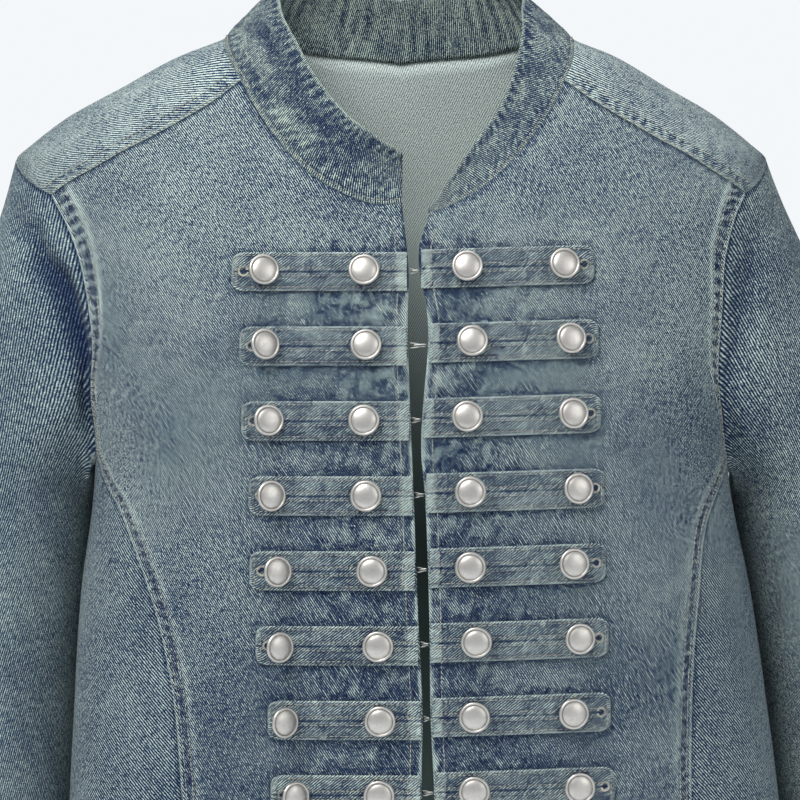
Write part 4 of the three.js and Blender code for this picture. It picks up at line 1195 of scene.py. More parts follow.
@dataclass
class FrontPanel:
    """A centre front, from the open edge to the princess seam and armhole."""

    half: Half
    row_fineness: int = 14
    column_fineness: int = 20

    @property
    def name(self) -> str:
        """Gives the panel's node name."""
        return f"front_{self.half.value}"

    def grid(self) -> ClothGrid:
        """Fills the panel between its four edges on the front chart."""
        seams = HalfSeams(self.half)
        fine = self.row_fineness
        inside = np.vstack([seams.front_seam("edge", COUNTS.edge * fine),
                            seams.front_seam("neck", COUNTS.neck * fine)[1:]])
        outside = np.vstack([seams.front_seam("princess", COUNTS.body * fine),
                             seams.front_seam("armhole", COUNTS.front_armhole * fine)[1:]])
        top = seams.front_seam("shoulder", COUNTS.panel * self.column_fineness)
        start, end = FORM.to_chart(inside, Face.FRONT), FORM.to_chart(outside, Face.FRONT)
        bottom = chart_line(start[0], end[0], COUNTS.panel * self.column_fineness)
        places = fill_patch(bottom, FORM.to_chart(top, Face.FRONT), start, end)
        points = FORM.from_chart(places[..., 0], places[..., 1], Face.FRONT)
        return ClothGrid(points, FORM.normal(points), flat=FORM.flat_places(places[..., 0], places[..., 1]))

    def shaped(self) -> ClothGrid:
        """Adds the panel's seam ripples, tab crumple and worn shades, with painted shade low down and painted
        shadows under the shoulder seam, the collar and the tabs.
        """
        cloth = self.grid()
        split = COUNTS.edge / (COUNTS.edge + COUNTS.neck)
        seed = 3 + 40 * self.half.sign
        height = 0.35 * wash_noise(cloth, seed, 42.0)
        shade = 0.42 * wash_noise(cloth, seed + 5, 46.0)
        # Painted shade: the front darkens toward its lower part, standing in for light that falls from above.
        shade = shade - 0.5 * smooth_step(-cloth.points[..., 2], 110, 330)
        for band in (
            SeamBand(Anchor.START, 5.5, 7.0, 0.4, seed + 1, 0.9, -0.3, 0.7, 0.15, 0.35, 0.0, split),
            # Painted shadow: a dark rim along the neck, under the collar's edge.
            SeamBand(Anchor.START, 4.0, 9.0, 0.5, seed + 2, -1.3, -0.35, 0.3, 0.15, 0.2, split, 1.0, -0.2),
            SeamBand(Anchor.END, 7.0, 6.0, 0.6, seed + 3, 1.7, -0.7, 1.4, 0.9, 0.4, 0.0, 0.7, 0.55),
            SeamBand(Anchor.END, 9.8, 6.6, 0.6, seed + 13, 2.2, -0.7, 1.7, 1.5, 0.45, 0.7, 1.02, 0.7),
            # Painted shadow: a dark rim under the back's raised shoulder edge.
            SeamBand(Anchor.TOP, 3.0, 7.0, 0.3, seed + 4, -1.5, -0.3, 0.3, 0.2, 0.15, edge=-0.25),
            SeamBand(Anchor.BOTTOM, 11.0, 6.0, 0.8, seed + 6),
        ):
            lift, tint = band.on(cloth)
            height, shade = height + lift, shade + tint
        lift, tint = tab_puckers(cloth.points, self.half)
        height, shade = height + lift, shade + tint
        gone, along = edge_distance(cloth, Anchor.START)
        wear = 2.4 + 0.8 * lattice_noise(along / 4.0, gone * 0, seed + 8)
        reach = 2.2 + 0.9 * lattice_noise(along / 6.0, gone * 0, seed + 9)
        on_edge = 1 - smooth_step(along / along.max(), split - 0.01, split)
        shade = shade + on_edge * wear * np.exp(-((gone / reach) ** 2))
        return cloth.raised(height, np.clip(shade, *SHADE_LIMITS))

    def build(self, wardrobe: Wardrobe) -> ClothGrid:
        """Makes the panel and its stitching."""
        cloth = self.shaped()
        obj = wall_mesh(self.name + "_cloth", cloth, [wardrobe.front, wardrobe.reverse, wardrobe.edge])
        dress(obj, self.name)
        thread = Stitcher()
        split = COUNTS.edge / (COUNTS.edge + COUNTS.neck)
        stitch_along(thread, cloth, Anchor.END, 7.0, 0.0, 0.7)
        stitch_along(thread, cloth, Anchor.END, 9.6, 0.7, 0.985)
        stitch_along(thread, cloth, Anchor.END, 3.0, 0.0, 0.985)
        stitch_along(thread, cloth, Anchor.START, 6.5, 0.0, split - 0.01)
        stitch_along(thread, cloth, Anchor.BOTTOM, HEM_STITCHES, 0.03, 0.98)
        add_trim(thread.make(self.name + "_stitches", wardrobe.thread))
        return cloth


@dataclass
class SidePanel:
    """A side front, from the princess seam round to the side seam."""

    half: Half
    row_fineness: int = 10
    column_fineness: int = 10

    @property
    def name(self) -> str:
        """Gives the panel's node name."""
        return f"side_{self.half.value}"

    def shaped(self) -> ClothGrid:
        """Fills the panel and adds its ripples and, along the princess seam, a dark line of painted shadow
        beside the front's raised welt.
        """
        seams = HalfSeams(self.half)
        start = FORM.to_chart(seams.front_seam("princess", COUNTS.body * self.row_fineness), Face.FRONT)
        side = seams.side_seam(COUNTS.body * self.row_fineness)
        end = np.stack([np.full(len(side), self.half.sign * math.pi / 2), side[:, 2]], axis=1)
        bottom = chart_line(start[0], end[0], COUNTS.side * self.column_fineness)
        top = FORM.to_chart(seams.underarm(COUNTS.side * self.column_fineness), Face.FRONT)
        top[-1] = end[-1]
        places = fill_patch(bottom, top, start, end)
        points = FORM.from_chart(places[..., 0], places[..., 1], Face.FRONT)
        flat = FORM.flat_places(places[..., 0], places[..., 1])
        cloth = ClothGrid(points, FORM.normal(points), flat=flat)
        seed = 9 + 40 * self.half.sign
        height = 0.3 * wash_noise(cloth, seed, 38.0)
        shade = 0.25 * wash_noise(cloth, seed + 5, 30.0)
        for band in (
            # Painted shadow: a dark rim beside the front panel's raised welt.
            SeamBand(Anchor.START, 3.0, 5.0, 0.9, seed + 1, -0.9, -0.4, 0.35, 0.1, 0.2),
            SeamBand(Anchor.BOTTOM, 11.0, 6.0, 0.8, seed + 2),
        ):
            lift, tint = band.on(cloth)
            height, shade = height + lift, shade + tint
        return cloth.raised(height, np.clip(shade, *SHADE_LIMITS))

    def build(self, wardrobe: Wardrobe) -> ClothGrid:
        """Makes the panel and its hem stitching."""
        cloth = self.shaped()
        obj = wall_mesh(self.name + "_cloth", cloth, [wardrobe.side, wardrobe.reverse, wardrobe.edge])
        dress(obj, self.name)
        thread = Stitcher()
        stitch_along(thread, cloth, Anchor.BOTTOM, HEM_STITCHES, 0.03, 0.97)
        add_trim(thread.make(self.name + "_stitches", wardrobe.thread))
        return cloth


@dataclass
class BackPanel:
    """The back, with both shoulders over to the forward seams and a notch for the neck."""

    fineness: int = 8

    def shaped(self) -> ClothGrid:
        """Fills the low block and the two shoulder wings, and adds ripples and wear."""
        fine = self.fineness
        parts: dict[Half, dict[str, Array]] = {}
        for half in Half:
            seams = HalfSeams(half)
            side = seams.side_seam(COUNTS.body * fine)
            low = np.stack([np.full(len(side), half.sign * math.pi / 2), side[:, 2]], axis=1)
            loop = FORM.to_chart(seams.back_loop((COUNTS.back_armhole + COUNTS.wing) * fine), Face.BACK)
            loop[0] = low[-1]
            turn = COUNTS.back_armhole * fine
            back_neck = FORM.to_chart(seams.back_neck(COUNTS.back_neck // 2 * fine), Face.BACK)
            parts[half] = {
                "side": np.vstack([low, loop[1:turn + 1]]),
                "wing_side": loop[turn:],
                "shoulder": FORM.to_chart(seams.front_seam("shoulder", COUNTS.panel * fine), Face.BACK)[::-1],
                "side_neck": FORM.to_chart(seams.side_neck(COUNTS.wing * fine), Face.BACK),
                "back_neck": back_neck,
                "join": chart_line(loop[turn], back_neck[0], COUNTS.panel * fine),
            }
        right, left = parts[Half.RIGHT], parts[Half.LEFT]
        middle = np.vstack([right["join"], right["back_neck"][1:], left["back_neck"][-2::-1],
                            left["join"][-2::-1]])
        hem = chart_line(right["side"][0], left["side"][0], len(middle) - 1)
        low = fill_patch(hem, middle, right["side"], left["side"])
        wings = [fill_patch(p["join"], p["shoulder"], p["wing_side"], p["side_neck"]) for p in (right, left)]
        neck_cells = COUNTS.back_neck * fine
        gap = np.broadcast_to(middle[COUNTS.panel * fine + 1:COUNTS.panel * fine + neck_cells],
                              (COUNTS.wing * fine, neck_cells - 1, 2))
        high = np.concatenate([wings[0][1:], gap, wings[1][1:, ::-1]], axis=1)
        places = np.concatenate([low, high])
        points = FORM.from_chart(places[..., 0], places[..., 1], Face.BACK)
        held = np.ones((points.shape[0] - 1, points.shape[1] - 1), bool)
        held[len(low) - 1:, COUNTS.panel * fine:COUNTS.panel * fine + neck_cells] = False
        flat = FORM.flat_places(places[..., 0], places[..., 1])
        cloth = ClothGrid(points, FORM.normal(points), cells=held, flat=flat)
        height = 0.35 * wash_noise(cloth, 21, 46.0)
        shade = 0.26 * wash_noise(cloth, 23, 34.0)
        wings_only = np.zeros(points.shape[:2])
        wings_only[len(low):] = 1.0
        lift, tint = SeamBand(Anchor.TOP, 7.6, 6.2, 0.5, 25, 1.7, -0.5, 1.3, 0.2, 0.4, edge=0.7).on(cloth)
        height, shade = height + lift * wings_only, shade + tint * wings_only
        mottle = layered_noise(cloth.arcs(1) / 7.0, cloth.arcs(0) / 6.0, 27)
        shade += 0.7 * mottle * wings_only
        for anchor in (Anchor.START, Anchor.END):
            shade += 1.1 * ridge_line(cloth, anchor, 0.4, 1.1)
            shade -= 0.3 * ridge_line(cloth, anchor, 4.0, 1.5)
        lift, tint = SeamBand(Anchor.BOTTOM, 11.0, 6.0, 0.8, 29).on(cloth)
        return cloth.raised(height + lift, np.clip(shade + tint, *SHADE_LIMITS))

    def build(self, wardrobe: Wardrobe) -> ClothGrid:
        """Makes the back and its stitching."""
        cloth = self.shaped()
        obj = wall_mesh("back_cloth", cloth, [wardrobe.back, wardrobe.reverse, wardrobe.edge])
        dress(obj, "back")
        thread = Stitcher()
        stitch_along(thread, cloth, Anchor.BOTTOM, HEM_STITCHES, 0.02, 0.98)
        wing = COUNTS.panel / (2 * COUNTS.panel + COUNTS.back_neck)
        for low, high in ((0.012, wing - 0.008), (1 - wing + 0.008, 0.988)):
            stitch_along(thread, cloth, Anchor.TOP, 1.6, low, high)
            stitch_along(thread, cloth, Anchor.TOP, 8.2, low, high)
        add_trim(thread.make("back_stitches", wardrobe.thread))
        return cloth


COLLAR_LEAN: Table = {
    "turn": [-180, -130, -100, -81, -67, -51, -35, -17, 0.8, 11.7, 22, 37.5, 53, 66, 75.5, 92, 112, 140, 180],
    "across": [0, 14, 25, 29.5, 30, 27, 21, 10, 0.6, -0.6, -4, -14, -20, -26, -28, -28, -23, -11, 0],
    "back": [-9, -8, -3, 3, 6, 7, 6, 12, 27, 37.5, 35.5, 31.5, 29, 24, 19, 8, -1, -7, -9],
    "rise": [37, 34, 28, 24, 22.5, 26, 31, 34.5, 27, 4, 12, 15.5, 14, 14, 17, 24, 30, 35, 37],
}


@dataclass
class Collar:
    """The stand collar: one band of double cloth on the whole neck seam."""

    fineness: int = 12
    rows: int = 34
    bulge: float = 1.6
    dent_share: float = 0.62
    dent_depth: float = 1.6

    def seam(self) -> Array:
        """Gives the neck seam from the right front edge round the back to the left one."""
        fine = self.fineness
        right, left = HalfSeams(Half.RIGHT), HalfSeams(Half.LEFT)
        return np.vstack([
            right.front_seam("neck", COUNTS.neck * fine),
            right.side_neck(COUNTS.wing * fine)[::-1][1:],
            right.back_neck(COUNTS.back_neck // 2 * fine)[1:],
            left.back_neck(COUNTS.back_neck // 2 * fine)[::-1][1:],
            left.side_neck(COUNTS.wing * fine)[1:],
            left.front_seam("neck", COUNTS.neck * fine)[::-1][1:],
        ])

    def shaped(self) -> ClothGrid:
        """Leans the band from its seam by the turn round the neck, crumples it, and paints shade in its dent.
        """
        seam = self.seam()
        normals = FORM.normal(seam)
        turn = np.degrees(np.arctan2(seam[:, 0], -(seam[:, 1] + 10)))
        half = np.where(np.arange(len(seam)) <= len(seam) / 2, -1, 1)
        turn = np.where(np.abs(turn) > 170, half * np.abs(turn), turn)
        way = np.stack([read_table(COLLAR_LEAN, "turn", key, turn)
                        for key in ("across", "back", "rise")], axis=1)
        share = np.linspace(0, 1, self.rows + 1)[:, None]
        ends = smooth_step(turn, -85, -70) * (1 - smooth_step(turn, -27, -12))
        dent = self.dent_depth * ends * np.exp(-(((share - self.dent_share) / 0.16) ** 2))
        raise_by = self.bulge * 4 * share * (1 - share) - dent
        start = seam + unit(way) * SEAM_GAP / 2
        points = start[None] + way[None] * share[..., None] + normals[None] * raise_by[..., None]
        cloth = ClothGrid(points, grid_normals(points, False, normals[0]), thickness=COLLAR_THICKNESS)
        up = cloth.arcs(0)
        along = np.broadcast_to(cloth.arcs(1)[self.rows // 2], up.shape)
        cloth = replace(cloth, flat=np.stack([along, up], axis=-1))
        left = up[-1:] - up
        behind = smooth_step(np.abs(turn), 95, 120) * np.ones_like(up)
        slant = along + 0.55 * up
        blobs = np.sin(slant * 2 * math.pi / 6.0 + 3.2 * lattice_noise(along / 15.0, up / 12.0, 61))
        blobs = 0.8 * blobs + 0.6 * lattice_noise(slant / 4.0, up / 5.0, 67)
        mottle = 0.75 * lattice_noise(slant / 7.0, up / 6.0, 63)
        mottle = mottle + 0.6 * lattice_noise(slant / 3.6, up / 4.0, 65)
        streaks = along * 2 * math.pi / 7.6 + 0.06 * up
        streaks = np.sin(streaks + 1.8 * lattice_noise(along / 18.0, up / 30.0, 69))
        streaks = 0.8 * streaks + 0.5 * lattice_noise(along / 3.5, up / 8.0, 71)
        top_band = smooth_step(left, 1.2, 2.6) * (1 - smooth_step(left, 7.0, 11.0))
        low_band = smooth_step(up, 3.0, 4.4) * (1 - smooth_step(up, 9.0, 13.0))
        middle = smooth_step(up, 4.0, 8.0) * smooth_step(left, 3.0, 8.0)
        front_shade = 1.1 * blobs * top_band + 0.8 * blobs * low_band
        front_shade = front_shade + 0.7 * mottle * middle - 0.45 * top_band
        front_shade = front_shade - 0.2 - 0.2 * smooth_step(turn, 0, 20)
        back_shade = streaks * smooth_step(up, 2.0, 5.0) * 1.1 + 0.1
        shade = front_shade * (1 - behind) + back_shade * behind
        height = 0.4 * shade
        # Painted shade in the collar's dent.
        shade = shade - 0.85 * dent / self.dent_depth
        shade += 1.3 * np.exp(-((left / 1.2) ** 2)) + 0.85 * np.exp(-(((up - 0.5) / 0.8) ** 2))
        shade -= 0.55 * np.exp(-(((up - 3.4) / 0.8) ** 2))
        height += 0.45 * np.exp(-((left / 1.6) ** 2)) + 0.25 * np.exp(-(((up - 0.9) / 0.9) ** 2))
        edge = smooth_step(share, 0.0, 0.06)
        return cloth.raised(height * edge, np.clip(shade, *SHADE_LIMITS))

    def build(self, wardrobe: Wardrobe) -> ClothGrid:
        """Makes the band and its row of stitching."""
        cloth = self.shaped()
        cloth.normals[0] = FORM.normal(self.seam())
        obj = wall_mesh("collar_cloth", cloth, [wardrobe.collar, wardrobe.collar, wardrobe.edge])
        dress(obj, "collar")
        thread = Stitcher()
        stitch_along(thread, cloth, Anchor.BOTTOM, 2.2, 0.004, 0.996)
        add_trim(thread.make("collar_stitches", wardrobe.thread))
        return cloth


SLEEVE_RINGS: dict[Half, Table] = {
    Half.RIGHT: {
        "z": [-262, -320, -390, -470, -555, CUFF_HEIGHT], "x": [-220.2, -225.2, -227, -227.2, -229, -232],
        "y": [32, 34, 36, 38, 30, 18], "half_width": [49, 47.5, 46, 44, 42, 40],
        "half_depth": [55, 54, 52, 49, 46, 43],
    },
    Half.LEFT: {
        "z": [-262, -320, -390, -470, -555, CUFF_HEIGHT], "x": [235, 244, 251.5, 257, 260, 263],
        "y": [32, 34, 36, 38, 30, 18], "half_width": [49, 47.5, 46, 44, 42, 40],
        "half_depth": [55, 54, 52, 49, 46, 43],
    },
}
SLEEVE_FOLDS: dict[Half, Table] = {
    Half.RIGHT: {"z": [-240, -200, -157, -124, -105, -70], "reach": [4, 6, 15, 21, 27, 22],
                 "depth": [0, 5, 10, 11, 8, 0]},
    Half.LEFT: {"z": [-240, -190, -140, -70], "reach": [8, 12, 18, 20], "depth": [0, 3, 4, 0]},
}


@dataclass
class Sleeve:
    """A set-in sleeve: lofted from the armhole to a level ring, then down to the cuff."""

    half: Half
    fineness: int = 6
    cap_rows: int = 76
    arm_rows: int = 130
    cap_middle: float = -153.0
    cap_half_height: float = 86.0
    cap_half_depth: float = 62.0
    fold_width: float = 9.0
    cap_lean: float = 0.28
    lean_share: float = 1.05
    unroll_radius: float = 46.0
    unroll_half_depth: float = 48.0
    unroll_half_width: float = 44.0

    @property
    def name(self) -> str:
        """Gives the sleeve's node name."""
        return f"sleeve_{self.half.value}"

    def ways_off(self) -> Array:
        """Gives the way off the armhole at each station, blended between the plain build's stations."""
        loop = self.loop(1)
        along = unit(np.roll(loop, -1, axis=0) - np.roll(loop, 1, axis=0))
        away = unit(np.cross(FORM.normal(loop), along))
        radial = loop - loop.mean(axis=0)
        radial[:, 0] = 0
        away = away * -np.sign(np.sum(away * radial, axis=1, keepdims=True))
        count = len(loop) * self.fineness
        place = np.arange(count) / self.fineness
        low = np.floor(place).astype(int)
        share = (place - low)[:, None]
        before, here = away[(low - 1) % len(loop)], away[low]
        after, beyond = away[(low + 1) % len(loop)], away[(low + 2) % len(loop)]
        blended = (here + 0.5 * share * (after - before + share * (2 * before - 5 * here + 4 * after - beyond
                   + share * (3 * (here - after) + beyond - before))))
        return unit(blended)

    def loop(self, fine: int) -> Array:
        """Gives the armhole's stations all round, from the side seam forward and up."""
        seams = HalfSeams(self.half)
        return np.vstack([
            seams.underarm(COUNTS.side * fine)[::-1][:-1],
            seams.front_seam("armhole", COUNTS.front_armhole * fine)[:-1],
            seams.back_loop((COUNTS.back_armhole + COUNTS.wing) * fine)[::-1][:-1],
        ])

    def ring(self, z: Array, angle: Array) -> Array:
        """Gives points of the level rings: x = xm + s w cos(a), y = ym + d sin(a)."""
        sizes = {key: read_table(SLEEVE_RINGS[self.half], "z", key, z)
                 for key in ("x", "y", "half_width", "half_depth")}
        x = sizes["x"] + self.half.sign * sizes["half_width"] * np.cos(angle)
        return np.stack([x, sizes["y"] + sizes["half_depth"] * np.sin(angle), z + 0 * angle], axis=-1)

    def unrolled(self, points: Array) -> Array:
        """Unrolls the sleeve's points to flat places.

        The turn is measured round the rings' middles, which lean inward above the first ring, and is
        multiplied by the sleeve's radius.

        Args:
            points: The sleeve's points, in rings.

        Returns:
            How far round and how high each point lies, in mm.
        """
        rings = SLEEVE_RINGS[self.half]
        first = rings["z"][0]
        low = np.minimum(points[..., 2], first)
        middle_x = read_table(rings, "z", "x", low)
        middle_y = read_table(rings, "z", "y", low)
        lean = np.maximum(points[..., 2] - first, 0.0) * self.cap_lean
        out = (points[..., 0] - middle_x) * self.half.sign + lean
        turn = np.arctan2((points[..., 1] - middle_y) / self.unroll_half_depth, out / self.unroll_half_width)
        turn = np.unwrap(turn, axis=1)
        spread = turn.mean(axis=1, keepdims=True)
        turn = turn - 2 * math.pi * np.round((spread - spread[-1]) / (2 * math.pi))
        round_place = (turn * self.unroll_radius - lean * self.lean_share) * self.half.sign
        return np.stack([round_place, points[..., 2]], axis=-1)

    def shaped(self) -> ClothGrid:
        """Lofts the sleeve, presses in its folds, and paints shade in the folds and along the armhole seam.
        """
        loop = self.loop(self.fineness)
        normals = FORM.normal(loop)
        away = self.ways_off()
        start = loop + away * SEAM_GAP / 2
        cap_rise = (loop[:, 2] - self.cap_middle) / self.cap_half_height
        angle = np.arctan2(loop[:, 1] / self.cap_half_depth, cap_rise)
        top_ring = np.full(len(loop), SLEEVE_RINGS[self.half]["z"][0], float)
        target = self.ring(top_ring, angle)
        length = np.linalg.norm(target - start, axis=1, keepdims=True)
        low = smooth_step(-start[:, 2:], 110, 185)
        way = away * (1 - low) + np.array([self.half.sign * 0.35, 0, -0.6]) * (low + 0.15)
        way = unit(way + np.array([0, 0, -0.25])) * length * (1 - 0.5 * low)
        end_way = np.concatenate([np.zeros_like(length), np.zeros_like(length), -length], axis=1)
        t = (np.linspace(0, 1, self.cap_rows, endpoint=False) ** 1.35)[:, None, None]
        cap = (start * (1 + 2 * t) * (1 - t) ** 2 + target * t * t * (3 - 2 * t)
               + way * t * (1 - t) ** 2 + end_way * t * t * (t - 1))
        heights = np.linspace(top_ring[0], CUFF_HEIGHT, self.arm_rows + 1)[:, None]
        points = np.concatenate([cap, self.ring(heights, angle[None])])
        cuff = SLEEVE_RINGS[self.half]
        outward = points[-1, 0] - np.array([cuff["x"][-1], cuff["y"][-1], cuff["z"][-1]])
        flat = grid_normals(points, True, outward)
        gone = np.linalg.norm(points - start, axis=2)
        front = smooth_step(-start[:, 1], 5, 40)
        depth = read_table(SLEEVE_FOLDS[self.half], "z", "depth", start[:, 2]) * front
        reach = read_table(SLEEVE_FOLDS[self.half], "z", "reach", start[:, 2])
        bell = np.exp(-(((gone - reach) / self.fold_width) ** 2))
        begun = smooth_step(gone, 0.0, 2.0)
        points = points - flat * (depth * bell * begun)[..., None]
        faces = grid_normals(points, True, outward)
        faces[0] = normals
        cloth = ClothGrid(points, faces, ring=True, flat=self.unrolled(points))
        seed = 51 + self.half.sign
        up = cloth.arcs(0)
        turn = np.broadcast_to(angle, up.shape)
        x, y = np.cos(turn) * 50, np.sin(turn) * 50
        height = 0.5 * layered_noise(x / 33 + up / 61, y / 33 + up / 47, seed)
        shade = 0.2 * layered_noise(x / 20 + up / 43, y / 20 - up / 39, seed + 2)
        # Painted shadow along the armhole seam under the front's raised rim, and painted shade in the pressed
        # fold's valley.
        shade -= 1.5 * np.exp(-((up / 2.2) ** 2)) + 1.9 * (bell * depth / 11.0)
        shade -= 0.5 * np.exp(-(((up - up[-1:] + 19.0) / 1.5) ** 2))
        return cloth.raised(height * smooth_step(up, 0.0, 8.0), np.clip(shade, *SHADE_LIMITS))

    def build(self, wardrobe: Wardrobe) -> ClothGrid:
        """Makes the sleeve and its cuff stitching."""
        cloth = self.shaped()
        finish = wardrobe.sleeve_right if self.half is Half.RIGHT else wardrobe.sleeve_left
        obj = wall_mesh(self.name + "_cloth", cloth, [finish, wardrobe.reverse, wardrobe.edge])
        dress(obj, self.name)
        thread = Stitcher()
        stitch_along(thread, cloth, Anchor.TOP, 18.0)
        add_trim(thread.make(self.name + "_stitches", wardrobe.thread))
        return cloth


@dataclass
class Tab:
    """A folded denim tab: a closed strip with a rounded outer end, stitched in four rows."""

    sizes: TabRow
    clearance: float = 0.4
    thickness: float = 2.0
    edge_inset: float = 1.0
    columns: int = 90
    rows: int = 32

    def middle(self, x: Array) -> Array:
        """Gives the height of the strip's middle line."""
        return self.sizes.height_at(x)

    def face(self, lift: Array, across: Array, step: Array) -> Array:
        """Gives points of the strip over the front: across from -1 to 1, step from 0 at the outer end."""
        start = float(front_edge(self.sizes.half, self.sizes.height_at(np.array(0.0))))
        start += self.sizes.half.sign * self.edge_inset
        x = self.sizes.end + (start - self.sizes.end) * step
        from_end = np.minimum(np.abs(x - self.sizes.end) / 7.0, 1)
        half_height = TAB_HEIGHT / 2 * (0.55 + 0.45 * np.sqrt(1 - (1 - from_end) ** 2))
        z = self.middle(x) + across * half_height
        base = FORM.on_face(x, z, Face.FRONT)
        return base + FORM.normal(base) * lift[..., None]

    def build(self, wardrobe: Wardrobe, stitches: Stitcher, holes: Stitcher) -> None:
        """Makes the strip with rolled edges, stitch troughs, wear and painted shade, and adds its stitches.
        """
        step = np.linspace(0, 1, self.columns + 1)[None]
        across = np.linspace(-1, 1, self.rows + 1)[:, None]
        step, across = np.broadcast_arrays(step, across)
        seed = 200 + self.sizes.row * 3 + (50 if self.sizes.half is Half.LEFT else 0)
        length = abs(self.sizes.end)
        x = (1 - step) * length
        edge = np.minimum(1 - np.abs(across), 1.0)
        roll = smooth_step(np.minimum(edge * 10.5, step * length), 0.0, 1.6)
        rows_at = (-0.8, -0.24, 0.2, 0.81)
        half_tall = TAB_HEIGHT / 2
        trough = sum(np.exp(-(((across - place) * half_tall / 0.8) ** 2)) for place in rows_at)
        slit = np.exp(-(((across + 0.02) * half_tall / 0.55) ** 2))
        lips = np.exp(-(((np.abs(across + 0.02) * half_tall - 1.3) / 0.6) ** 2))
        pillow = 0.2 * np.cos(across * 2.6) + 0.24 * layered_noise(x / 6.0, across * 2.2, seed)
        pillow = pillow - 0.3 * trough - 0.75 * slit + 0.1 * lips
        lift = self.clearance + self.thickness * (0.55 + 0.45 * roll) + pillow * roll
        points = self.face(lift, across, step)
        normals = grid_normals(points, False, np.array([0.0, -1.0, 0.0]))
        shade = 0.95 * layered_noise(x / 5.0, across * 2.6, seed + 1)
        # Painted shade in the stitch troughs and the central slit.
        shade = shade - 0.7 * trough - 1.5 * slit + 0.6 * lips - 0.25
        shade += 1.1 * np.exp(-((edge * half_tall / 1.1) ** 2)) + 1.0 * np.exp(-((step * length / 1.5) ** 2))
        shade += 1.2 * smooth_step(step, 1 - 6.0 / length, 1 - 5.0 / length)
        shade += 0.3 * (1 - smooth_step(step * length, 2.0, 9.0))
        # Painted shade: a dark eye where the keyhole opens, with no hole in the mesh.
        eye = np.hypot(step * length - 6.4, across * half_tall)
        shade -= 2.2 * np.exp(-((eye / 1.5) ** 4))
        flat = np.stack([points[..., 0], across * half_tall], axis=-1)
        cloth = ClothGrid(points, normals, thickness=1.3, wear_and_shade=np.clip(shade, -1.6, 1.6), flat=flat)
        name = self.sizes.name
        obj = wall_mesh(name + "_cloth", cloth, [wardrobe.tab, wardrobe.edge, wardrobe.edge])
        dress(obj, name)
        for place in rows_at:
            row = (place + 1) / 2 * self.rows
            columns = np.linspace(self.columns * 5.0 / length, self.columns - 0.5, 60)
            at = np.full_like(columns, row)
            stitches.row(cloth.at(at, columns), cloth.normal_at(at, columns))
        rows = np.linspace(0.08, 0.9, 12) * self.rows
        at = np.full_like(rows, self.columns * 2.6 / length)
        stitches.row(cloth.at(rows, at), cloth.normal_at(rows, at))
        at = np.full_like(rows, self.columns * (1 - 6.0 / length))
        stitches.row(cloth.at(rows, at), cloth.normal_at(rows, at))
        self.buttonhole(cloth, holes, length)

    def buttonhole(self, cloth: ClothGrid, holes: Stitcher, length: float) -> None:
        """Adds the keyhole's thread: a ring of close stitches round its eye."""
        angle = np.linspace(-0.9 * math.pi, 0.9 * math.pi, 36)
        along = 6.4 - 2.5 * np.cos(angle)
        up = 2.3 * np.sin(angle)
        columns = along / length * self.columns
        rows = (up / TAB_HEIGHT + 0.5) * self.rows
        holes.row(cloth.at(rows, columns), cloth.normal_at(rows, columns), 0.2)


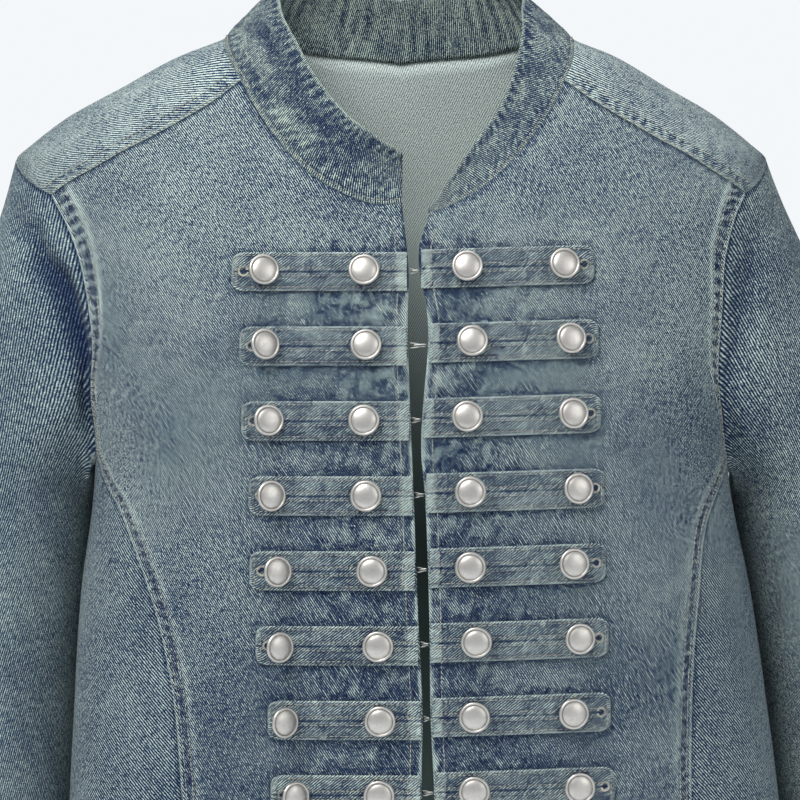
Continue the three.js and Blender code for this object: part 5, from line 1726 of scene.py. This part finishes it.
@dataclass
class Button:
    """A tack button: a flat rim ring, a groove and a shallow dome on a short shank that bends."""

    sizes: TabRow
    outer: bool
    radius: float = 8.4
    shank_radius: float = 3.4
    shank_height: float = 2.6
    clearance: float = 0.3
    lift: float = 2.4
    sides: int = 40

    @property
    def name(self) -> str:
        """Gives the button's node name."""
        which = "outer" if self.outer else "inner"
        return f"button_{self.sizes.half.value}_{which}_{self.sizes.row + 1}"

    def profile(self, shank: float) -> Array:
        """Gives rows of radius, height, bend and grime_and_shade from the shank's foot to the crown."""
        r = self.radius
        return np.array([
            (0.01, 0, 0, 1), (self.shank_radius, 0, 0, 1), (self.shank_radius, shank * 0.75, 0.7, 1),
            (r - 1.4, shank - 0.15, 1, 1), (r - 0.35, shank + 0.25, 1, 0.7), (r, shank + 0.75, 1, 0.25),
            (r - 0.15, shank + 1.3, 1, 0.0), (r - 0.55, shank + 1.72, 1, 0.0), (r - 1.0, shank + 1.8, 1, 0.0),
            (r - 1.35, shank + 1.62, 1, 0.35), (r - 1.6, shank + 1.28, 1, 0.9),
            (r - 1.9, shank + 1.3, 1, 0.6), (r - 2.4, shank + 1.62, 1, 0.12),
            (r * 0.58, shank + 2.05, 1, 0.0), (r * 0.42, shank + 2.33, 1, 0.0),
            (r * 0.25, shank + 2.52, 1, 0.0), (r * 0.1, shank + 2.59, 1, 0.0), (0.01, shank + 2.6, 1, 0.0),
        ])

    def build(self, wardrobe: Wardrobe) -> None:
        """Turns the profile round an axis that bends from the tab's normal to the tipped cap."""
        tip = math.radians(self.sizes.tip) if self.outer else 0.0
        shank = max(self.shank_height, (self.radius * math.sin(tip) + 0.6) / math.cos(tip))
        place = self.sizes.outer if self.outer else self.sizes.inner
        x = np.array(place - shank * math.sin(tip / 2))
        base = FORM.on_face(x, self.sizes.height_at(x), Face.FRONT)
        normal = FORM.normal(base)
        base = base + normal * (self.lift + self.clearance)
        side = unit(np.array([1.0, 0, 0]) - normal * normal[0])
        up = unit(np.cross(normal, side))
        rows = self.profile(shank)
        radius, height, bend, grime_and_shade = rows.T
        neck = np.minimum(height, shank)
        over = height - neck
        half_bend = bend * tip / 2
        centre = base + np.outer(neck * np.cos(half_bend), normal) + np.outer(neck * np.sin(half_bend), side)
        centre += np.outer(over * np.cos(tip), normal) + np.outer(over * np.sin(tip), side)
        tipped = np.outer(np.cos(tip * bend), side) - np.outer(np.sin(tip * bend), normal)
        angle = np.arange(self.sides) * 2 * math.pi / self.sides
        ring = tipped[:, None] * np.cos(angle)[None, :, None] + up * np.sin(angle)[None, :, None]
        points = centre[:, None] + ring * radius[:, None, None]
        row, step = np.meshgrid(np.arange(len(rows) - 1), np.arange(self.sides), indexing="ij")
        after = (step + 1) % self.sides
        quads = np.stack([row * self.sides + step, row * self.sides + after,
                          (row + 1) * self.sides + after, (row + 1) * self.sides + step], axis=-1)
        caps = np.stack([np.arange(self.sides)[::-1], (len(rows) - 1) * self.sides + np.arange(self.sides)])
        obj = Workshop.piece(self.name + "_cap", points.reshape(-1, 3),
                             [quads.reshape(-1, 4), caps], [wardrobe.metal])
        # One grime_and_shade value per ring: grime and painted shade in the groove, under the rim and on the
        # shank.
        Workshop.attribute(obj, "grime_and_shade", np.repeat(grime_and_shade, self.sides))
        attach(obj, "root")
        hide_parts(self.name)


@dataclass
class HookRow:
    """The small wire hook and eye that join the front edges behind each tab row."""

    row: int
    wire: float = 0.32
    sides: int = 8

    def build(self, wardrobe: Wardrobe) -> None:
        """Bends two wires: an arch from the right edge and a bill from the left one."""
        right, left = tab_rows(Half.RIGHT)[self.row], tab_rows(Half.LEFT)[self.row]
        z = float(right.height_at(np.array(0.0)) + left.height_at(np.array(0.0))) / 2
        first = float(front_edge(Half.RIGHT, z))
        last = float(front_edge(Half.LEFT, z))
        depth = float(FORM.on_face(np.array((first + last) / 2), np.array(z), Face.FRONT)[1]) + 2.6
        turn = np.linspace(-0.5 * math.pi, 0.5 * math.pi, 16)
        arch = np.stack([first + 0.3 + (last - first) * 0.62 * np.cos(turn), depth + 0 * turn,
                         z + 1.3 * np.sin(turn)], axis=1)
        bill_turn = np.linspace(0, math.pi, 16)
        bill_x = last - 0.3 - (last - first) * 0.72 * np.sin(bill_turn)
        bill = np.stack([bill_x, depth - 1.3 * np.cos(bill_turn),
                         z + 0.6 * np.cos(bill_turn)], axis=1)
        paths = [arch, bill]
        points, faces, base = [], [], 0
        for path in paths:
            ring_points, ring_faces = wire_tube(path, self.wire, self.sides)
            points.append(ring_points)
            faces.append([group + base for group in ring_faces])
            base += len(ring_points)
        groups = [np.concatenate([part[k] for part in faces]) for k in range(2)]
        obj = Workshop.piece(f"hook_and_eye_{self.row + 1}", np.concatenate(points), groups, [wardrobe.wire])
        Workshop.attribute(obj, "grime_and_shade", np.full(base, 0.3))
        add_trim(obj)


def wire_tube(path: Array, radius: float, sides: int) -> tuple[Array, list[Array]]:
    """Carries a circle along a path, square to it, and closes both ends."""
    along = unit(np.gradient(path, axis=0))
    side = unit(np.cross(along, np.array([0.31, 0.22, 0.93])))
    up = np.cross(along, side)
    angle = np.arange(sides) * 2 * math.pi / sides
    ring = side[:, None] * np.cos(angle)[None, :, None] + up[:, None] * np.sin(angle)[None, :, None]
    points = (path[:, None] + ring * radius).reshape(-1, 3)
    row, step = np.meshgrid(np.arange(len(path) - 1), np.arange(sides), indexing="ij")
    after = (step + 1) % sides
    quads = np.stack([row * sides + step, row * sides + after,
                      (row + 1) * sides + after, (row + 1) * sides + step], axis=-1).reshape(-1, 4)
    caps = np.stack([np.arange(sides)[::-1], (len(path) - 1) * sides + np.arange(sides)])
    return points, [quads, caps]


def dress(obj: bpy.types.Object, node: str) -> None:
    """Makes a cloth piece ride on the jacket and hides its node's part of the frame."""
    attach(obj, "root")
    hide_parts(node)


def add_trim(obj: bpy.types.Object) -> None:
    """Makes a small piece ride on the jacket."""
    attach(obj, "root")
    log.info("%s: %d faces", obj.name, len(obj.data.polygons))


@dataclass(frozen=True)
class Studio:
    """The camera, the pale floor and the soft lights."""

    camera_depth: float = -2.5
    camera_height: float = -0.201
    frame_width: float = 0.4288
    plane_depth: float = -0.1
    sensor: float = 36.0
    floor_height: float = -0.66
    floor_size: float = 1.2

    def build(self) -> None:
        """Sets the stage up."""
        scene = bpy.context.scene
        camera = bpy.data.cameras.new("camera")
        camera.sensor_width = self.sensor
        camera.lens = self.sensor * (self.plane_depth - self.camera_depth) / self.frame_width
        camera.clip_end = 20.0
        view = bpy.data.objects.new("camera", camera)
        view.location = (0, self.camera_depth, self.camera_height)
        view.rotation_euler = (math.pi / 2, 0, 0)
        scene.collection.objects.link(view)
        scene.camera = view
        self.light("key_light", (-0.75, -1.3, 1.25), (0, 0, -0.15), 0.9, 40.0)
        self.light("fill_light", (1.7, -1.6, 0.4), (0, 0, -0.2), 1.4, 11.0)
        self.light("top_light", (0.1, 0.3, 1.7), (0, 0, -0.1), 1.0, 12.0)
        self.floor()
        self.world(scene)
        scene.view_settings.view_transform = "Standard"

    @staticmethod
    def light(name: str, place: tuple[float, float, float], aim: tuple[float, float, float],
              size: float, power: float) -> None:
        """Adds a square soft light that faces a point."""
        data = bpy.data.lights.new(name, "AREA")
        data.size = size
        data.energy = power
        lamp = bpy.data.objects.new(name, data)
        lamp.location = place
        way = np.array(aim) - np.array(place)
        flat = math.hypot(way[0], way[1])
        lamp.rotation_euler = (math.atan2(flat, -way[2]), 0, math.atan2(way[1], way[0]) - math.pi / 2)
        bpy.context.scene.collection.objects.link(lamp)

    def floor(self) -> None:
        """Adds the floor as one square."""
        size = self.floor_size / METRES
        height = self.floor_height / METRES
        points = np.array([(-size, -size, height), (size, -size, height), (size, size, height),
                           (-size, size, height)])
        floor = Workshop.piece("floor", points, [np.array([[0, 1, 2, 3]])], [FloorFinish().material()])

    @staticmethod
    def world(scene: bpy.types.Scene) -> None:
        """Makes the pale background, dimmer as a light than as a backdrop."""
        world = bpy.data.worlds.new("studio")
        world.use_nodes = True
        tree = world.node_tree
        tree.nodes.clear()
        output = tree.nodes.new("ShaderNodeOutputWorld")
        mix = tree.nodes.new("ShaderNodeMixShader")
        path = tree.nodes.new("ShaderNodeLightPath")
        soft = tree.nodes.new("ShaderNodeBackground")
        seen = tree.nodes.new("ShaderNodeBackground")
        soft.inputs["Color"].default_value = (0.86, 0.93, 1.0, 1)
        soft.inputs["Strength"].default_value = 0.48
        seen.inputs["Color"].default_value = srgb(244, 247, 250)
        seen.inputs["Strength"].default_value = 1.0
        tree.links.new(path.outputs["Is Camera Ray"], mix.inputs[0])
        tree.links.new(soft.outputs[0], mix.inputs[1])
        tree.links.new(seen.outputs[0], mix.inputs[2])
        tree.links.new(mix.outputs[0], output.inputs[0])
        scene.world = world


def corners(box: object) -> list[list[float]]:
    """Gives a box's two corners as plain lists."""
    return [[float(value) for value in corner] for corner in box]


def main() -> None:
    """Loads the frame and builds every piece in order."""
    logging.basicConfig(level=logging.INFO, format="%(message)s")
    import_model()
    wardrobe = Wardrobe()
    Studio().build()
    for half in Half:
        FrontPanel(half).build(wardrobe)
        SidePanel(half).build(wardrobe)
        Sleeve(half).build(wardrobe)
    BackPanel().build(wardrobe)
    Collar().build(wardrobe)
    for half in Half:
        stitches, holes = Stitcher(), Stitcher(length=0.8, gap=0.1, width=1.3, height=0.35)
        for sizes in tab_rows(half):
            Tab(sizes).build(wardrobe, stitches, holes)
            Button(sizes, outer=True).build(wardrobe)
            Button(sizes, outer=False).build(wardrobe)
        add_trim(stitches.make(f"tab_stitches_{half.value}", wardrobe.thread))
        add_trim(holes.make(f"buttonholes_{half.value}", wardrobe.pale_thread))
    for row in range(TAB_ROWS):
        HookRow(row).build(wardrobe)


if __name__ == "__main__":
    main()
